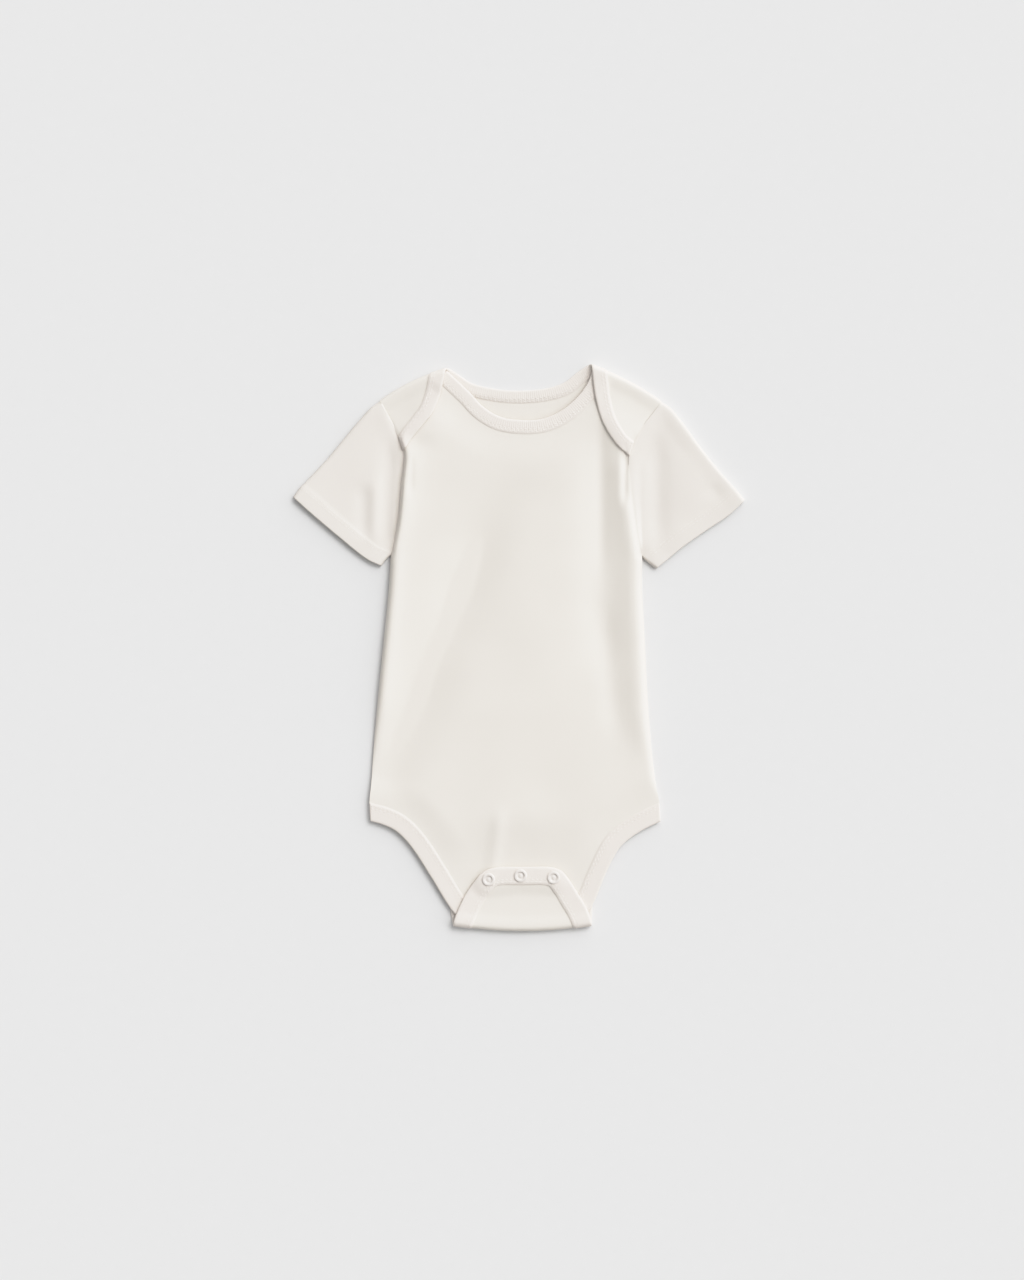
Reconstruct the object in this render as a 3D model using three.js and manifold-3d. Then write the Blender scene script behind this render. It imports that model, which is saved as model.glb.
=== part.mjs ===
// A baby's short-sleeved bodysuit, laid flat on its back, in millimetres.
// X runs across the chest, Y from the crotch up to the neck, and Z up from the surface that it lies on.
// The origin is the middle of its footprint, on that surface.
// It has a front, a back whose shoulder laps and crotch flap fold over onto the front, two sleeves,
// ribbed bindings round the neck and legs, and three ring snaps that fasten the flap.
import * as THREE from "three";
import { mergeVertices } from "three/addons/utils/BufferGeometryUtils.js";
import Module from "manifold-3d";

const wasm = await Module();
wasm.setup();

// Cloth
const CLOTH = 1.0; // a single layer of the body's knit
const HALF = CLOTH / 2;
const SEAM_GAP = 0.3; // between pieces at a seam
const RIB_HALF = 1.2; // half of a folded rib binding
const NECK_RIB = 9.7; // the neck binding's width
const LEG_RIB = 12.5; // the leg binding's width
const HEM_DEPTH = 12; // the sleeve hem's turn-up
const HEM_EXTRA = 0.4; // how far that second layer stands proud

// Heights of the layers' mid-surfaces above the table
const BACK_MID = HALF;
const BACK_RIM_LIFT = 0.6; // how far the back's side edges curl up
const FRONT_MID = 4.9;
const SIDE_RIM = 2.4; // the front's edge over the back's at the side seam
const ARM_RIM = 3.3; // the valley along the armhole
const LEG_RIM = 3.9; // the front leg binding, on top of the back one
const NECK_RIM = 4.2; // the front neck binding at its middle
const SHOULDER_TIP_RIM = 2.8; // the front, under the lap, at the sleeve
const SHOULDER_NECK_RIM = 3.9; // the same at the neck, over the back's binding
const SNAP_RIM = 3.0; // the front under the snaps
const FRONT_LOWEST = 2.0;
const LAP_LIFT = 1.7; // from the front's mid-surface to the lap's
const LAP_LIFT_ON_RIB = 2.4; // the same where the lap crosses the front's binding
const FLAP_LIFT = 2.4;
const FLAP_AT_SNAPS = 6.3; // the flap's mid-surface where the snaps hold it off the front
const BACK_RIB_SHIFT = RIB_HALF - HALF; // lifts the back's bindings so that they lie flat
const TOP_RIB_SHIFT = -0.4; // lap and flap bindings stand out on the outside

// Outlines, seen from above: x and y of each point
const SIDE_LEFT = [
  [-106, -98], [-104.6, -80], [-103, -60], [-100.5, -33],
  [-98, -8], [-95.1, 20], [-92.7, 46], [-91.4, 69],
];
const SIDE_RIGHT = [
  [98.6, -98], [96.2, -80], [94.3, -60], [92.4, -33],
  [91.2, -8], [89.8, 20], [88.5, 46], [88.6, 67],
];
const ARMHOLE_LEFT = [
  [-91.4, 69], [-86.8, 92], [-84.2, 119], [-82.6, 141], [-88.6, 157], [-99.8, 178.4],
];
const ARMHOLE_RIGHT = [
  [88.6, 67], [83.9, 96], [81, 119], [79.8, 138.5], [86, 154.7], [103.2, 177.7],
];
const FRONT_NECK = [
  [-52, 200.4], [-42.8, 191.8], [-33.9, 183.2], [-25.6, 174.4], [-13.6, 167.2], [1.6, 164.6],
  [17.1, 165.6], [29.2, 170.6], [41.2, 180.2], [50, 192], [54, 203],
];
const BACK_NECK = [
  [-41.3, 196.2], [-34.4, 191.6], [-17, 187.3], [-2, 186],
  [18.4, 187.4], [32.8, 191.8], [42.2, 199],
];
const FRONT_LEG = [
  [-106.6, -123.8], [-97, -126.6], [-88.2, -131], [-78, -141.3], [-63.7, -162.9], [-50.6, -184.2],
  [-44.6, -191.4], [-34, -195], [2, -196], [39, -195], [47.6, -191], [53.6, -183.2],
  [62.3, -162.6], [67.4, -151.8], [74.2, -141.2], [88.2, -130.8], [102.2, -124],
];
const BACK_LEG_LEFT = [
  [-105.8, -123], [-95.6, -125.7], [-87.4, -130], [-77.2, -140.4],
  [-62.9, -162], [-51, -181.6], [-48.4, -192],
];
const BACK_LEG_RIGHT = [
  [53, -192], [53.8, -182], [61.5, -161.8], [66.6, -151],
  [73.4, -140.4], [87.4, -130], [101.4, -123.2],
];
const LAP_LEFT = [
  [-54, 192.6], [-57.4, 179.9], [-62.1, 169.3], [-69.3, 160.2], [-76.5, 151.4], [-82.4, 142.6],
];
const LAP_RIGHT = [
  [53.9, 190], [56, 177.5], [59.8, 164.8], [65.4, 154.2], [72, 145.4], [79.6, 138.8],
];
const FLAP_LEFT = [
  [-46.8, -196.8], [-44, -188.6], [-39.4, -178.5], [-31.7, -166.9], [-25.4, -160.2], [-17, -157],
];
const FLAP_TOP = [[3, -156.5]];
const FLAP_RIGHT = [
  [22.6, -156.7], [30.6, -159.4], [36.4, -166], [42.6, -175.7], [48.8, -186], [52.4, -196.4],
];

// Folds of the back: the outermost line of each, from its first end to its second
const FOLDS = {
  left: { from: [-99.8, 178.9], to: [-51.8, 202], bulge: 2.4, low: 2.05, high: 2.95 },
  right: { from: [103.4, 178.1], to: [53.4, 204.4], bulge: 2.0, low: 2.05, high: 2.95 },
};
const CROTCH = { y: -203, x: 2.4, halfWidth: 49.6, rise: 4, radius: 2.9 };

// Snap centres on the flap's binding
const SNAPS = [
  { x: -21.6, y: -165.6 },
  { x: 1.4, y: -162.9 },
  { x: 25.2, y: -164.2 },
];

// How far in from an edge the front starts to leave that edge's height, and where it has left it
const BLENDS = {
  leg: [LEG_RIB, LEG_RIB + 22],
  neck: [NECK_RIB, NECK_RIB + 24],
  snaps: [13, 27],
  shoulder: [8, 40],
  armhole: [0, 15],
};
const SIDE_ROLL = 9; // how far in from the side seam the front rolls over
const SNAP_BLEND = [6, 18]; // the same for the flap round the snaps

// Soft folds of the front: from one end to the other, how wide, and how far up or down
const FRONT_FOLDS = [
  { from: [58, 162], to: [69, 30], width: 9, rise: -1.5 },
  { from: [69, 60], to: [80, -40], width: 9, rise: -0.9 },
  { from: [75, 136], to: [75.5, 108], width: 2.6, rise: -1.1 },
  { from: [76, 104], to: [80, 30], width: 6, rise: 0.4 },
  { from: [-76, 120], to: [-84, 30], width: 8, rise: 0.5 },
  { from: [-10, 60], to: [-88, -100], width: 22, rise: -0.7 },
  { from: [-31, -118], to: [-28, -158], width: 6, rise: -0.8 },
  { from: [-9, -122], to: [-17, -150], width: 6, rise: 0.5 },
  { from: [66, -40], to: [58, -100], width: 13, rise: -0.6 },
];
const SLEEVE_FOLDS = {
  left: [
    { from: [-90, 124], to: [-96, 74], width: 5, rise: -1.2 },
    { from: [-108, 118], to: [-102, 80], width: 7, rise: -0.7 },
    { from: [-99, 124], to: [-99.5, 88], width: 5, rise: 0.5 },
  ],
  right: [
    { from: [106, 158], to: [110, 80], width: 9, rise: -0.9 },
    { from: [90, 118], to: [92, 80], width: 6, rise: 0.5 },
    { from: [138, 118], to: [146, 106], width: 7, rise: -0.5 },
  ],
};

const backwards = (list) => [...list].reverse();
const lerp = (a, b, t) => a + (b - a) * t;
const mix = (p, q, t) => p.map((value, k) => lerp(value, q[k], t));
const clamp01 = (t) => Math.min(1, Math.max(0, t));
const smooth = (from, to, value) => {
  const t = clamp01((value - from) / (to - from));
  return t * t * (3 - 2 * t);
};
const minus = (p, q) => [p[0] - q[0], p[1] - q[1]];
const plus = (p, q, times = 1) => [p[0] + q[0] * times, p[1] + q[1] * times];
const dot = (p, q) => p[0] * q[0] + p[1] * q[1];
const unit = (p) => plus([0, 0], p, 1 / Math.hypot(...p));
const distance = (p, q) => Math.hypot(p[0] - q[0], p[1] - q[1]);

// A smooth curve through a table's points, as evenly spaced points.
function curveThrough(points, spacing = 1) {
  const curve = new THREE.CatmullRomCurve3(
    points.map(([x, y]) => new THREE.Vector3(x, y, 0)), false, "centripetal");
  const steps = Math.max(2, Math.round(curve.getLength() / spacing));
  return curve.getSpacedPoints(steps).map((p) => [p.x, p.y]);
}

function lengthsOf(line) {
  const along = [0];
  for (let i = 1; i < line.length; i++) along.push(along[i - 1] + distance(line[i], line[i - 1]));
  return along;
}

// The points at these shares of a polyline's length.
function sample(line, shares) {
  const along = lengthsOf(line);
  const total = along[along.length - 1];
  return shares.map((share) => {
    const goal = share * total;
    let i = 1;
    while (i < line.length - 1 && along[i] < goal) i++;
    return mix(line[i - 1], line[i], (goal - along[i - 1]) / (along[i] - along[i - 1]));
  });
}

// How far a point is from a polyline, and the share of its length where it is nearest.
function nearest(line, p) {
  let best = { away: Infinity, share: 0 };
  for (let i = 1; i < line.length; i++) {
    const edge = minus(line[i], line[i - 1]);
    const t = clamp01(dot(minus(p, line[i - 1]), edge) / dot(edge, edge));
    const away = distance(p, plus(line[i - 1], edge, t));
    if (away < best.away) best = { away, share: (i - 1 + t) / (line.length - 1) };
  }
  return best;
}

// Shares of a line's length, closer together where it bends.
const BEND_WEIGHT = 26;
function bendShares(line, count) {
  const along = lengthsOf(line);
  const effort = [0];
  for (let i = 1; i < line.length; i++)
    effort.push(effort[i - 1] + along[i] - along[i - 1] + BEND_WEIGHT * bendAt(line, i));
  return evenly(count).map((t) => {
    const goal = t * effort[line.length - 1];
    let i = 1;
    while (i < line.length - 1 && effort[i] < goal) i++;
    const within = (goal - effort[i - 1]) / (effort[i] - effort[i - 1]);
    return lerp(along[i - 1], along[i], within) / along[line.length - 1];
  });
}
function bendAt(line, i) {
  if (i < 2) return 0;
  const [before, after] = [minus(line[i - 1], line[i - 2]), minus(line[i], line[i - 1])];
  if (Math.hypot(...before) < 0.05 || Math.hypot(...after) < 0.05) return 0;
  return Math.acos(Math.min(1, dot(unit(before), unit(after))));
}
// Several lines that follow on from each other, each with its own number of steps.
const follow = (lines, counts) => lines.flatMap((line, k) =>
  sample(line, bendShares(line, counts[k])).slice(k === 0 ? 0 : 1));

const evenly = (count) => Array.from({ length: count + 1 }, (_, i) => i / count);

// Shares that crowd towards both ends, for edges that roll over.
const EDGE_SHARES = [0, 0.002, 0.008, 0.02, 0.042, 0.074];
function rolledShares(inner) {
  const last = EDGE_SHARES[EDGE_SHARES.length - 1];
  const middle = evenly(inner).map((t) => lerp(last, 1 - last, t));
  const edge = EDGE_SHARES.slice(0, -1);
  return [...edge, ...middle, ...backwards(edge).map((t) => 1 - t)];
}

// The same, with the shares between them closer together where the line bends.
function rolledBends(line, inner) {
  const edge = EDGE_SHARES.slice(0, -1);
  const last = EDGE_SHARES[EDGE_SHARES.length - 1];
  const along = lengthsOf(line);
  const length = along[line.length - 1];
  const cut = (t) => sample(line, [t])[0];
  const between = line.filter((_, i) => along[i] > last * length && along[i] < (1 - last) * length);
  const middle = [cut(last), ...between, cut(1 - last)];
  const shares = bendShares(middle, inner).map((t) => lerp(last, 1 - last, t));
  return [...edge, ...shares, ...backwards(edge).map((t) => 1 - t)];
}

// The fold of a shoulder as a frame: its roll begins on a line from `start` along `along`.
function shoulderFold({ from, to, bulge, low, high }, outward) {
  const along = unit(minus(to, from));
  const length = distance(from, to);
  const normal = [along[1] * outward, -along[0] * outward];
  const radiusAt = (share) => lerp(low, high, smooth(0, 1, share));
  const place = (p) => {
    const rel = minus(p, from);
    const share = clamp01(dot(rel, along) / length);
    const radius = radiusAt(share);
    const beyond = dot(rel, normal) - bulge * 4 * share * (1 - share) + radius + HALF;
    return { share, radius, beyond, normal };
  };
  return { place, along, line: [from, to] };
}
const leftFold = shoulderFold(FOLDS.left, -1);
const rightFold = shoulderFold(FOLDS.right, 1);

const crotchLine = (x) => CROTCH.y + CROTCH.rise * ((x - CROTCH.x) / CROTCH.halfWidth) ** 2;
const crotchFold = {
  place: ([x, y]) => ({
    share: 0,
    radius: CROTCH.radius,
    beyond: crotchLine(x) + CROTCH.radius + HALF - y,
    normal: [0, -1],
  }),
};
const HALF_TURN = Math.PI;

// Where a point of the folded-over layer was on the uncut, unfolded back, and the way back.
function unfold(fold, p) {
  const { radius, beyond, normal } = fold.place(p);
  return plus(p, normal, HALF_TURN * radius - 2 * beyond);
}
function foldOver(fold, p) {
  const at = fold.place(p);
  if (at.beyond <= 0) return null;
  const turn = Math.min(HALF_TURN, at.beyond / at.radius);
  const reach = at.radius * Math.sin(turn) - Math.max(0, at.beyond - HALF_TURN * at.radius);
  return {
    plan: plus(p, at.normal, reach - at.beyond),
    turn,
    inward: Math.max(0, at.beyond - HALF_TURN * at.radius),
    radius: at.radius,
  };
}

const frontNeck = curveThrough(FRONT_NECK);
const frontLeg = curveThrough(FRONT_LEG);
const sideLeft = curveThrough([frontLeg[0], [-107.2, -110], ...SIDE_LEFT]);
const sideRight = curveThrough([frontLeg[frontLeg.length - 1], [101.2, -110], ...SIDE_RIGHT]);
const armholeLeft = curveThrough(ARMHOLE_LEFT);
const armholeRight = curveThrough(ARMHOLE_RIGHT);

// How far a soft fold lifts the cloth at a point.
function foldRise(folds, p) {
  let rise = 0;
  for (const fold of folds) {
    const { away, share } = nearest([fold.from, fold.to], p);
    const fade = smooth(0, 0.3, share) * smooth(0, 0.3, 1 - share);
    rise += fold.rise * Math.exp(-((away / fold.width) ** 2)) * fade;
  }
  return rise;
}

// The front's mid-surface: level in the middle, settling to its own height along each edge.
const snapLine = SNAPS.map(({ x, y }) => [x, y]);
function frontHeight(p) {
  let z = FRONT_MID + foldRise(FRONT_FOLDS, p);
  z = lerp(LEG_RIM, z, smooth(...BLENDS.leg, nearest(frontLeg, p).away));
  const neck = nearest(frontNeck, p);
  const neckEnd = Math.abs(2 * neck.share - 1);
  const neckRim = lerp(NECK_RIM, SHOULDER_NECK_RIM, smooth(0.4, 0.8, neckEnd));
  z = lerp(neckRim, z, smooth(...BLENDS.neck, neck.away));
  z = lerp(SNAP_RIM, z, smooth(...BLENDS.snaps, nearest(snapLine, p).away));
  for (const { line } of [leftFold, rightFold]) {
    const shoulder = nearest(line, p);
    const rim = lerp(SHOULDER_TIP_RIM, SHOULDER_NECK_RIM, smooth(0.2, 0.75, shoulder.share));
    z = lerp(rim, z, smooth(...BLENDS.shoulder, shoulder.away));
  }
  for (const line of [armholeLeft, armholeRight])
    z = lerp(Math.min(z, ARM_RIM), z, smooth(...BLENDS.armhole, nearest(line, p).away));
  for (const line of [sideLeft, sideRight]) {
    const inward = 1 - clamp01(nearest(line, p).away / SIDE_ROLL);
    const rim = lerp(SIDE_RIM, LEG_RIM, smooth(-88, -104, p[1]));
    z = lerp(rim, z, Math.sqrt(1 - inward * inward));
  }
  return Math.max(z, FRONT_LOWEST);
}

function lapHeight(p) {
  const onRib = 1 - smooth(NECK_RIB, NECK_RIB + 8, nearest(frontNeck, p).away);
  return frontHeight(p) + lerp(LAP_LIFT, LAP_LIFT_ON_RIB, onRib);
}

function flapHeight(p) {
  const lifted = frontHeight(p) + FLAP_LIFT;
  return lerp(FLAP_AT_SNAPS, lifted, smooth(...SNAP_BLEND, nearest(snapLine, p).away));
}

const RAMP_FROM_FOLD = 9;
const LAYERS = [
  { fold: leftFold, height: lapHeight, holds: ([x, y]) => x < -20 && y > 100 },
  { fold: rightFold, height: lapHeight, holds: ([x, y]) => x > 20 && y > 100 },
  { fold: crotchFold, height: flapHeight, holds: ([, y]) => y < -150 },
];

// The back's mid-surface in space, from a point of the unfolded back.
function backPoint(p) {
  for (const { fold, height, holds } of LAYERS) {
    const over = holds(p) ? foldOver(fold, p) : null;
    if (!over) continue;
    const roll = BACK_MID + over.radius * (1 - Math.cos(over.turn));
    const rest = over.inward > 0 ? height(over.plan) : roll;
    return [...over.plan, lerp(roll, rest, smooth(0, RAMP_FROM_FOLD, over.inward))];
  }
  const side = Math.min(nearest(sideLeft, p).away, nearest(sideRight, p).away);
  const curl = BACK_RIM_LIFT * (1 - smooth(0, 5, side)) * smooth(-112, -100, p[1]);
  return [...p, BACK_MID + curl];
}
const frontPoint = (p) => [...p, frontHeight(p)];

// How much of the turn is done where a binding crosses a fold: 0 under the body, 1 on top.
function turned(p) {
  for (const { fold, holds } of LAYERS) {
    const over = holds(p) ? foldOver(fold, p) : null;
    if (over) return over.turn / HALF_TURN;
  }
  return 0;
}
const backRibShift = (p) => lerp(BACK_RIB_SHIFT, TOP_RIB_SHIFT, smooth(0.1, 0.9, turned(p)));
const noShift = () => 0;

// A point moved off a surface along its normal.
const NORMAL_STEP = 0.05;
function offSurface(surface, p, height) {
  const centre = new THREE.Vector3(...surface(p));
  const step = (dx, dy) => new THREE.Vector3(...surface([p[0] + dx, p[1] + dy]));
  const acrossX = step(NORMAL_STEP, 0).sub(step(-NORMAL_STEP, 0));
  const acrossY = step(0, NORMAL_STEP).sub(step(0, -NORMAL_STEP));
  return centre.addScaledVector(acrossX.cross(acrossY).normalize(), height);
}

// A sheet is a flat net of points with triangles. Grids of points join where their edges agree.
class Sheet {
  constructor() {
    this.points = [];
    this.faces = [];
    this.known = new Map();
  }
  add(p, facts) {
    const key = p.map((v) => Math.round(v * 500)).join();
    if (!this.known.has(key)) {
      this.known.set(key, this.points.length);
      this.points.push({ p, ...facts });
    }
    return this.known.get(key);
  }
  // rows[j][i], counted so that x by y faces up
  grid(rows, factsAt = () => ({})) {
    const ids = rows.map((row, j) => row.map((p, i) => this.add(p, factsAt(i, j))));
    for (let j = 1; j < ids.length; j++)
      for (let i = 1; i < ids[j].length; i++) {
        const [a, b, c, d] = [ids[j - 1][i - 1], ids[j - 1][i], ids[j][i], ids[j][i - 1]];
        this.face(a, b, c);
        this.face(a, c, d);
      }
    return this;
  }
  face(a, b, c) {
    if (a !== b && b !== c && c !== a) this.faces.push([a, b, c]);
  }
}

function geometryOf(corners, triangles) {
  const geometry = new THREE.BufferGeometry();
  const flat = corners.flatMap((v) => [v.x, v.y, v.z]);
  geometry.setAttribute("position", new THREE.Float32BufferAttribute(flat, 3));
  geometry.setIndex(triangles.flat());
  return geometry;
}

// Gives a sheet its thickness: an upper skin, a lower skin, and a wall along its open edges.
function solidify(sheet, upper, lower) {
  const corners = [...sheet.points.map(upper), ...sheet.points.map(lower)];
  const below = sheet.points.length;
  const triangles = [];
  const edges = new Map();
  for (const [a, b, c] of sheet.faces) {
    triangles.push([a, b, c], [c + below, b + below, a + below]);
    for (const [from, to] of [[a, b], [b, c], [c, a]]) {
      if (!edges.delete(`${to},${from}`)) edges.set(`${from},${to}`, [from, to]);
    }
  }
  for (const [from, to] of edges.values())
    triangles.push([from, from + below, to + below], [from, to + below, to]);
  return geometryOf(corners, triangles);
}

const clothOf = (sheet, surface) => solidify(sheet,
  ({ p }) => offSurface(surface, p, HALF),
  ({ p }) => offSurface(surface, p, -HALF));

const ribOf = (sheet, surface, shift) => solidify(sheet,
  ({ p, half }) => offSurface(surface, p, shift(p) + half),
  ({ p, half }) => offSurface(surface, p, shift(p) - half));

// A binding's outer edge with, for each point, the vector across it to its seam.
// At each end that vector lies along the seam or fold that cuts the binding off.
function band(outer, width, side, startAlong, endAlong) {
  const along = lengthsOf(outer);
  const total = along[along.length - 1];
  return outer.map((p, i) => {
    const ahead = unit(minus(outer[Math.min(i + 1, outer.length - 1)], outer[Math.max(i - 1, 0)]));
    const square = [-ahead[1] * side, ahead[0] * side];
    const cut = (direction) => plus([0, 0], direction, width / Math.max(0.35, dot(direction, square)));
    const fromEnd = Math.min(along[i], total - along[i]);
    const slanted = cut(along[i] < total / 2 ? startAlong : endAlong);
    return { p, across: mix(slanted, plus([0, 0], square, width), smooth(0, 1.6 * width, fromEnd)) };
  });
}
const BEND_GAP = 0.2; // extra at seams, so that straight steps round a bend stay apart
const seamOf = (stations, width) =>
  stations.map(({ p, across }) => plus(p, across, 1 + (SEAM_GAP + BEND_GAP) / width));

// Keeps the stations that a curve needs: `spacing` says how far apart they may be at a point.
const BEND_STEP = 0.2; // the most that a binding turns between two stations, in radians
function thin(stations, spacing) {
  const kept = [stations[0]];
  const line = stations.map(({ p }) => p);
  let owed = 0;
  for (let i = 1; i < stations.length - 1; i++) {
    owed += distance(line[i], line[i - 1]) / spacing(line[i]) + bendAt(line, i) / BEND_STEP;
    if (owed >= 1) {
      kept.push(stations[i]);
      owed = 0;
    }
  }
  if (owed < 0.4) kept.pop();
  return [...kept, stations[stations.length - 1]];
}
const ROLL_SPACING = 1.6; // between stations where a binding goes over a fold
const spacingOf = (flat) => (p) => {
  const turn = turned(p);
  return turn > 0 && turn < 1 ? ROLL_SPACING : flat;
};

// Across a binding: the share of its width, and half its thickness there.
const RIB_SECTION = [
  { share: 0, half: 0.35 },
  { share: 0.07, half: 0.95 },
  { share: 0.2, half: RIB_HALF },
  { share: 1, half: RIB_HALF - 0.1 },
];
function bandSheet(stations, side) {
  const rows = RIB_SECTION.map(({ share }) => stations.map(({ p, across }) => plus(p, across, share)));
  const ordered = side > 0 ? rows : [...rows].reverse();
  const section = side > 0 ? RIB_SECTION : [...RIB_SECTION].reverse();
  return new Sheet().grid(ordered, (i, j) => ({ half: section[j].half }));
}

// A net between four edges, each given as points that meet the others at the corners.
function coons({ bottom, top, left, right }) {
  const share = (line) => {
    const along = lengthsOf(line);
    return along.map((length) => length / (along[along.length - 1] || 1));
  };
  const [us, vs] = [share(bottom), share(left)];
  const last = bottom.length - 1;
  return left.map((_, j) => bottom.map((_, i) => {
    if (j === 0) return bottom[i];
    if (j === left.length - 1) return top[i];
    if (i === 0) return left[j];
    if (i === last) return right[j];
    const [u, v] = [us[i], vs[j]];
    return [0, 1].map((k) =>
      lerp(bottom[i][k], top[i][k], v) + lerp(left[j][k], right[j][k], u)
      - lerp(lerp(bottom[0][k], bottom[last][k], u), lerp(top[0][k], top[last][k], u), v));
  }));
}

// Cuts a line in two where `measure` passes `level`, beyond the line's first step.
function splitWhere(line, measure, level) {
  for (let i = 2; i < line.length; i++) {
    const [before, after] = [measure(line[i - 1]) - level, measure(line[i]) - level];
    if (before * after <= 0 && before !== after) {
      const cut = mix(line[i - 1], line[i], before / (before - after));
      return [[...line.slice(0, i), cut], [cut, ...line.slice(i)]];
    }
  }
  throw new Error(`a line never passes ${level}`);
}

// Points along a fold, as far round its roll as `turn` says: 0 where it begins, 1 where it ends.
function alongFold(fold, from, to, shares, turn) {
  return shares.map((share) => {
    if (share === 0) return from;
    if (share === 1) return to;
    const p = mix(from, to, share);
    const { beyond, radius, normal } = fold.place(p);
    return plus(p, normal, turn * HALF_TURN * radius - beyond);
  });
}
const roundRoll = (fold) => (p) => {
  const { beyond, radius } = fold.place(p);
  return beyond / (HALF_TURN * radius);
};

// Front
const armUpLeft = splitWhere(armholeLeft, roundRoll(leftFold), 0)[0];
const armUpRight = splitWhere(armholeRight, roundRoll(rightFold), 0)[0];
const tipLeft = armUpLeft[armUpLeft.length - 1];
const tipRight = armUpRight[armUpRight.length - 1];
const INSIDE_FOLD = -0.3; // where the front ends, short of the roll that goes over it
const frontNeckOuter = splitWhere(
  splitWhere(frontNeck, roundRoll(leftFold), INSIDE_FOLD)[1], roundRoll(rightFold), INSIDE_FOLD)[0];
const frontArmLeft = splitWhere(armholeLeft, roundRoll(leftFold), INSIDE_FOLD)[0];
const frontArmRight = splitWhere(armholeRight, roundRoll(rightFold), INSIDE_FOLD)[0];
const upLeft = unit(minus(sideLeft[12], sideLeft[0]));
const upRight = unit(minus(sideRight[12], sideRight[0]));
const outLeft = plus([0, 0], leftFold.along, -1);
const outRight = plus([0, 0], rightFold.along, -1);
const frontLegBand = band(frontLeg, LEG_RIB, 1, upLeft, upRight);
const frontNeckBand = band(frontNeckOuter, NECK_RIB, -1, outLeft, outRight);

const FRONT_ROWS = [15, 12]; // up the side, and up the armhole
const FRONT_COLUMNS = 20;
function frontPanel() {
  const bottom = seamOf(frontLegBand, LEG_RIB);
  const neck = seamOf(frontNeckBand, NECK_RIB);
  const edge = (start, side, armhole) =>
    follow([[start, ...side.filter(([, y]) => y > start[1] + 1)], armhole], FRONT_ROWS);
  const columns = rolledShares(FRONT_COLUMNS);
  const top = [frontArmLeft[frontArmLeft.length - 1], ...neck, frontArmRight[frontArmRight.length - 1]];
  return clothOf(new Sheet().grid(coons({
    bottom: sample(bottom, rolledBends(bottom, FRONT_COLUMNS)),
    top: sample(top, columns),
    left: edge(bottom[0], sideLeft, frontArmLeft),
    right: edge(bottom[bottom.length - 1], sideRight, frontArmRight),
  })), frontPoint);
}

// Back
const backNeckOuter = curveThrough([
  ...backwards(LAP_LEFT).map((p) => unfold(leftFold, p)),
  ...BACK_NECK,
  ...LAP_RIGHT.map((p) => unfold(rightFold, p)),
]);
const backLegOuter = curveThrough([
  ...BACK_LEG_LEFT,
  ...[...FLAP_LEFT, ...FLAP_TOP, ...FLAP_RIGHT].map((p) => unfold(crotchFold, p)),
  ...BACK_LEG_RIGHT,
]);
// From a lap's corner along its armhole, on the unfolded back.
const upLap = (fold, armhole, corner) => {
  const after = armhole.find(([, y]) => y > corner[1] + NECK_RIB);
  return unit(minus(unfold(fold, after), unfold(fold, corner)));
};
const cornerLeft = LAP_LEFT[LAP_LEFT.length - 1];
const cornerRight = LAP_RIGHT[LAP_RIGHT.length - 1];
const backNeckBand = band(backNeckOuter, NECK_RIB, -1,
  upLap(leftFold, armUpLeft, cornerLeft), upLap(rightFold, armUpRight, cornerRight));
const backLegBand = band(backLegOuter, LEG_RIB, 1, upLeft, upRight);

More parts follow.
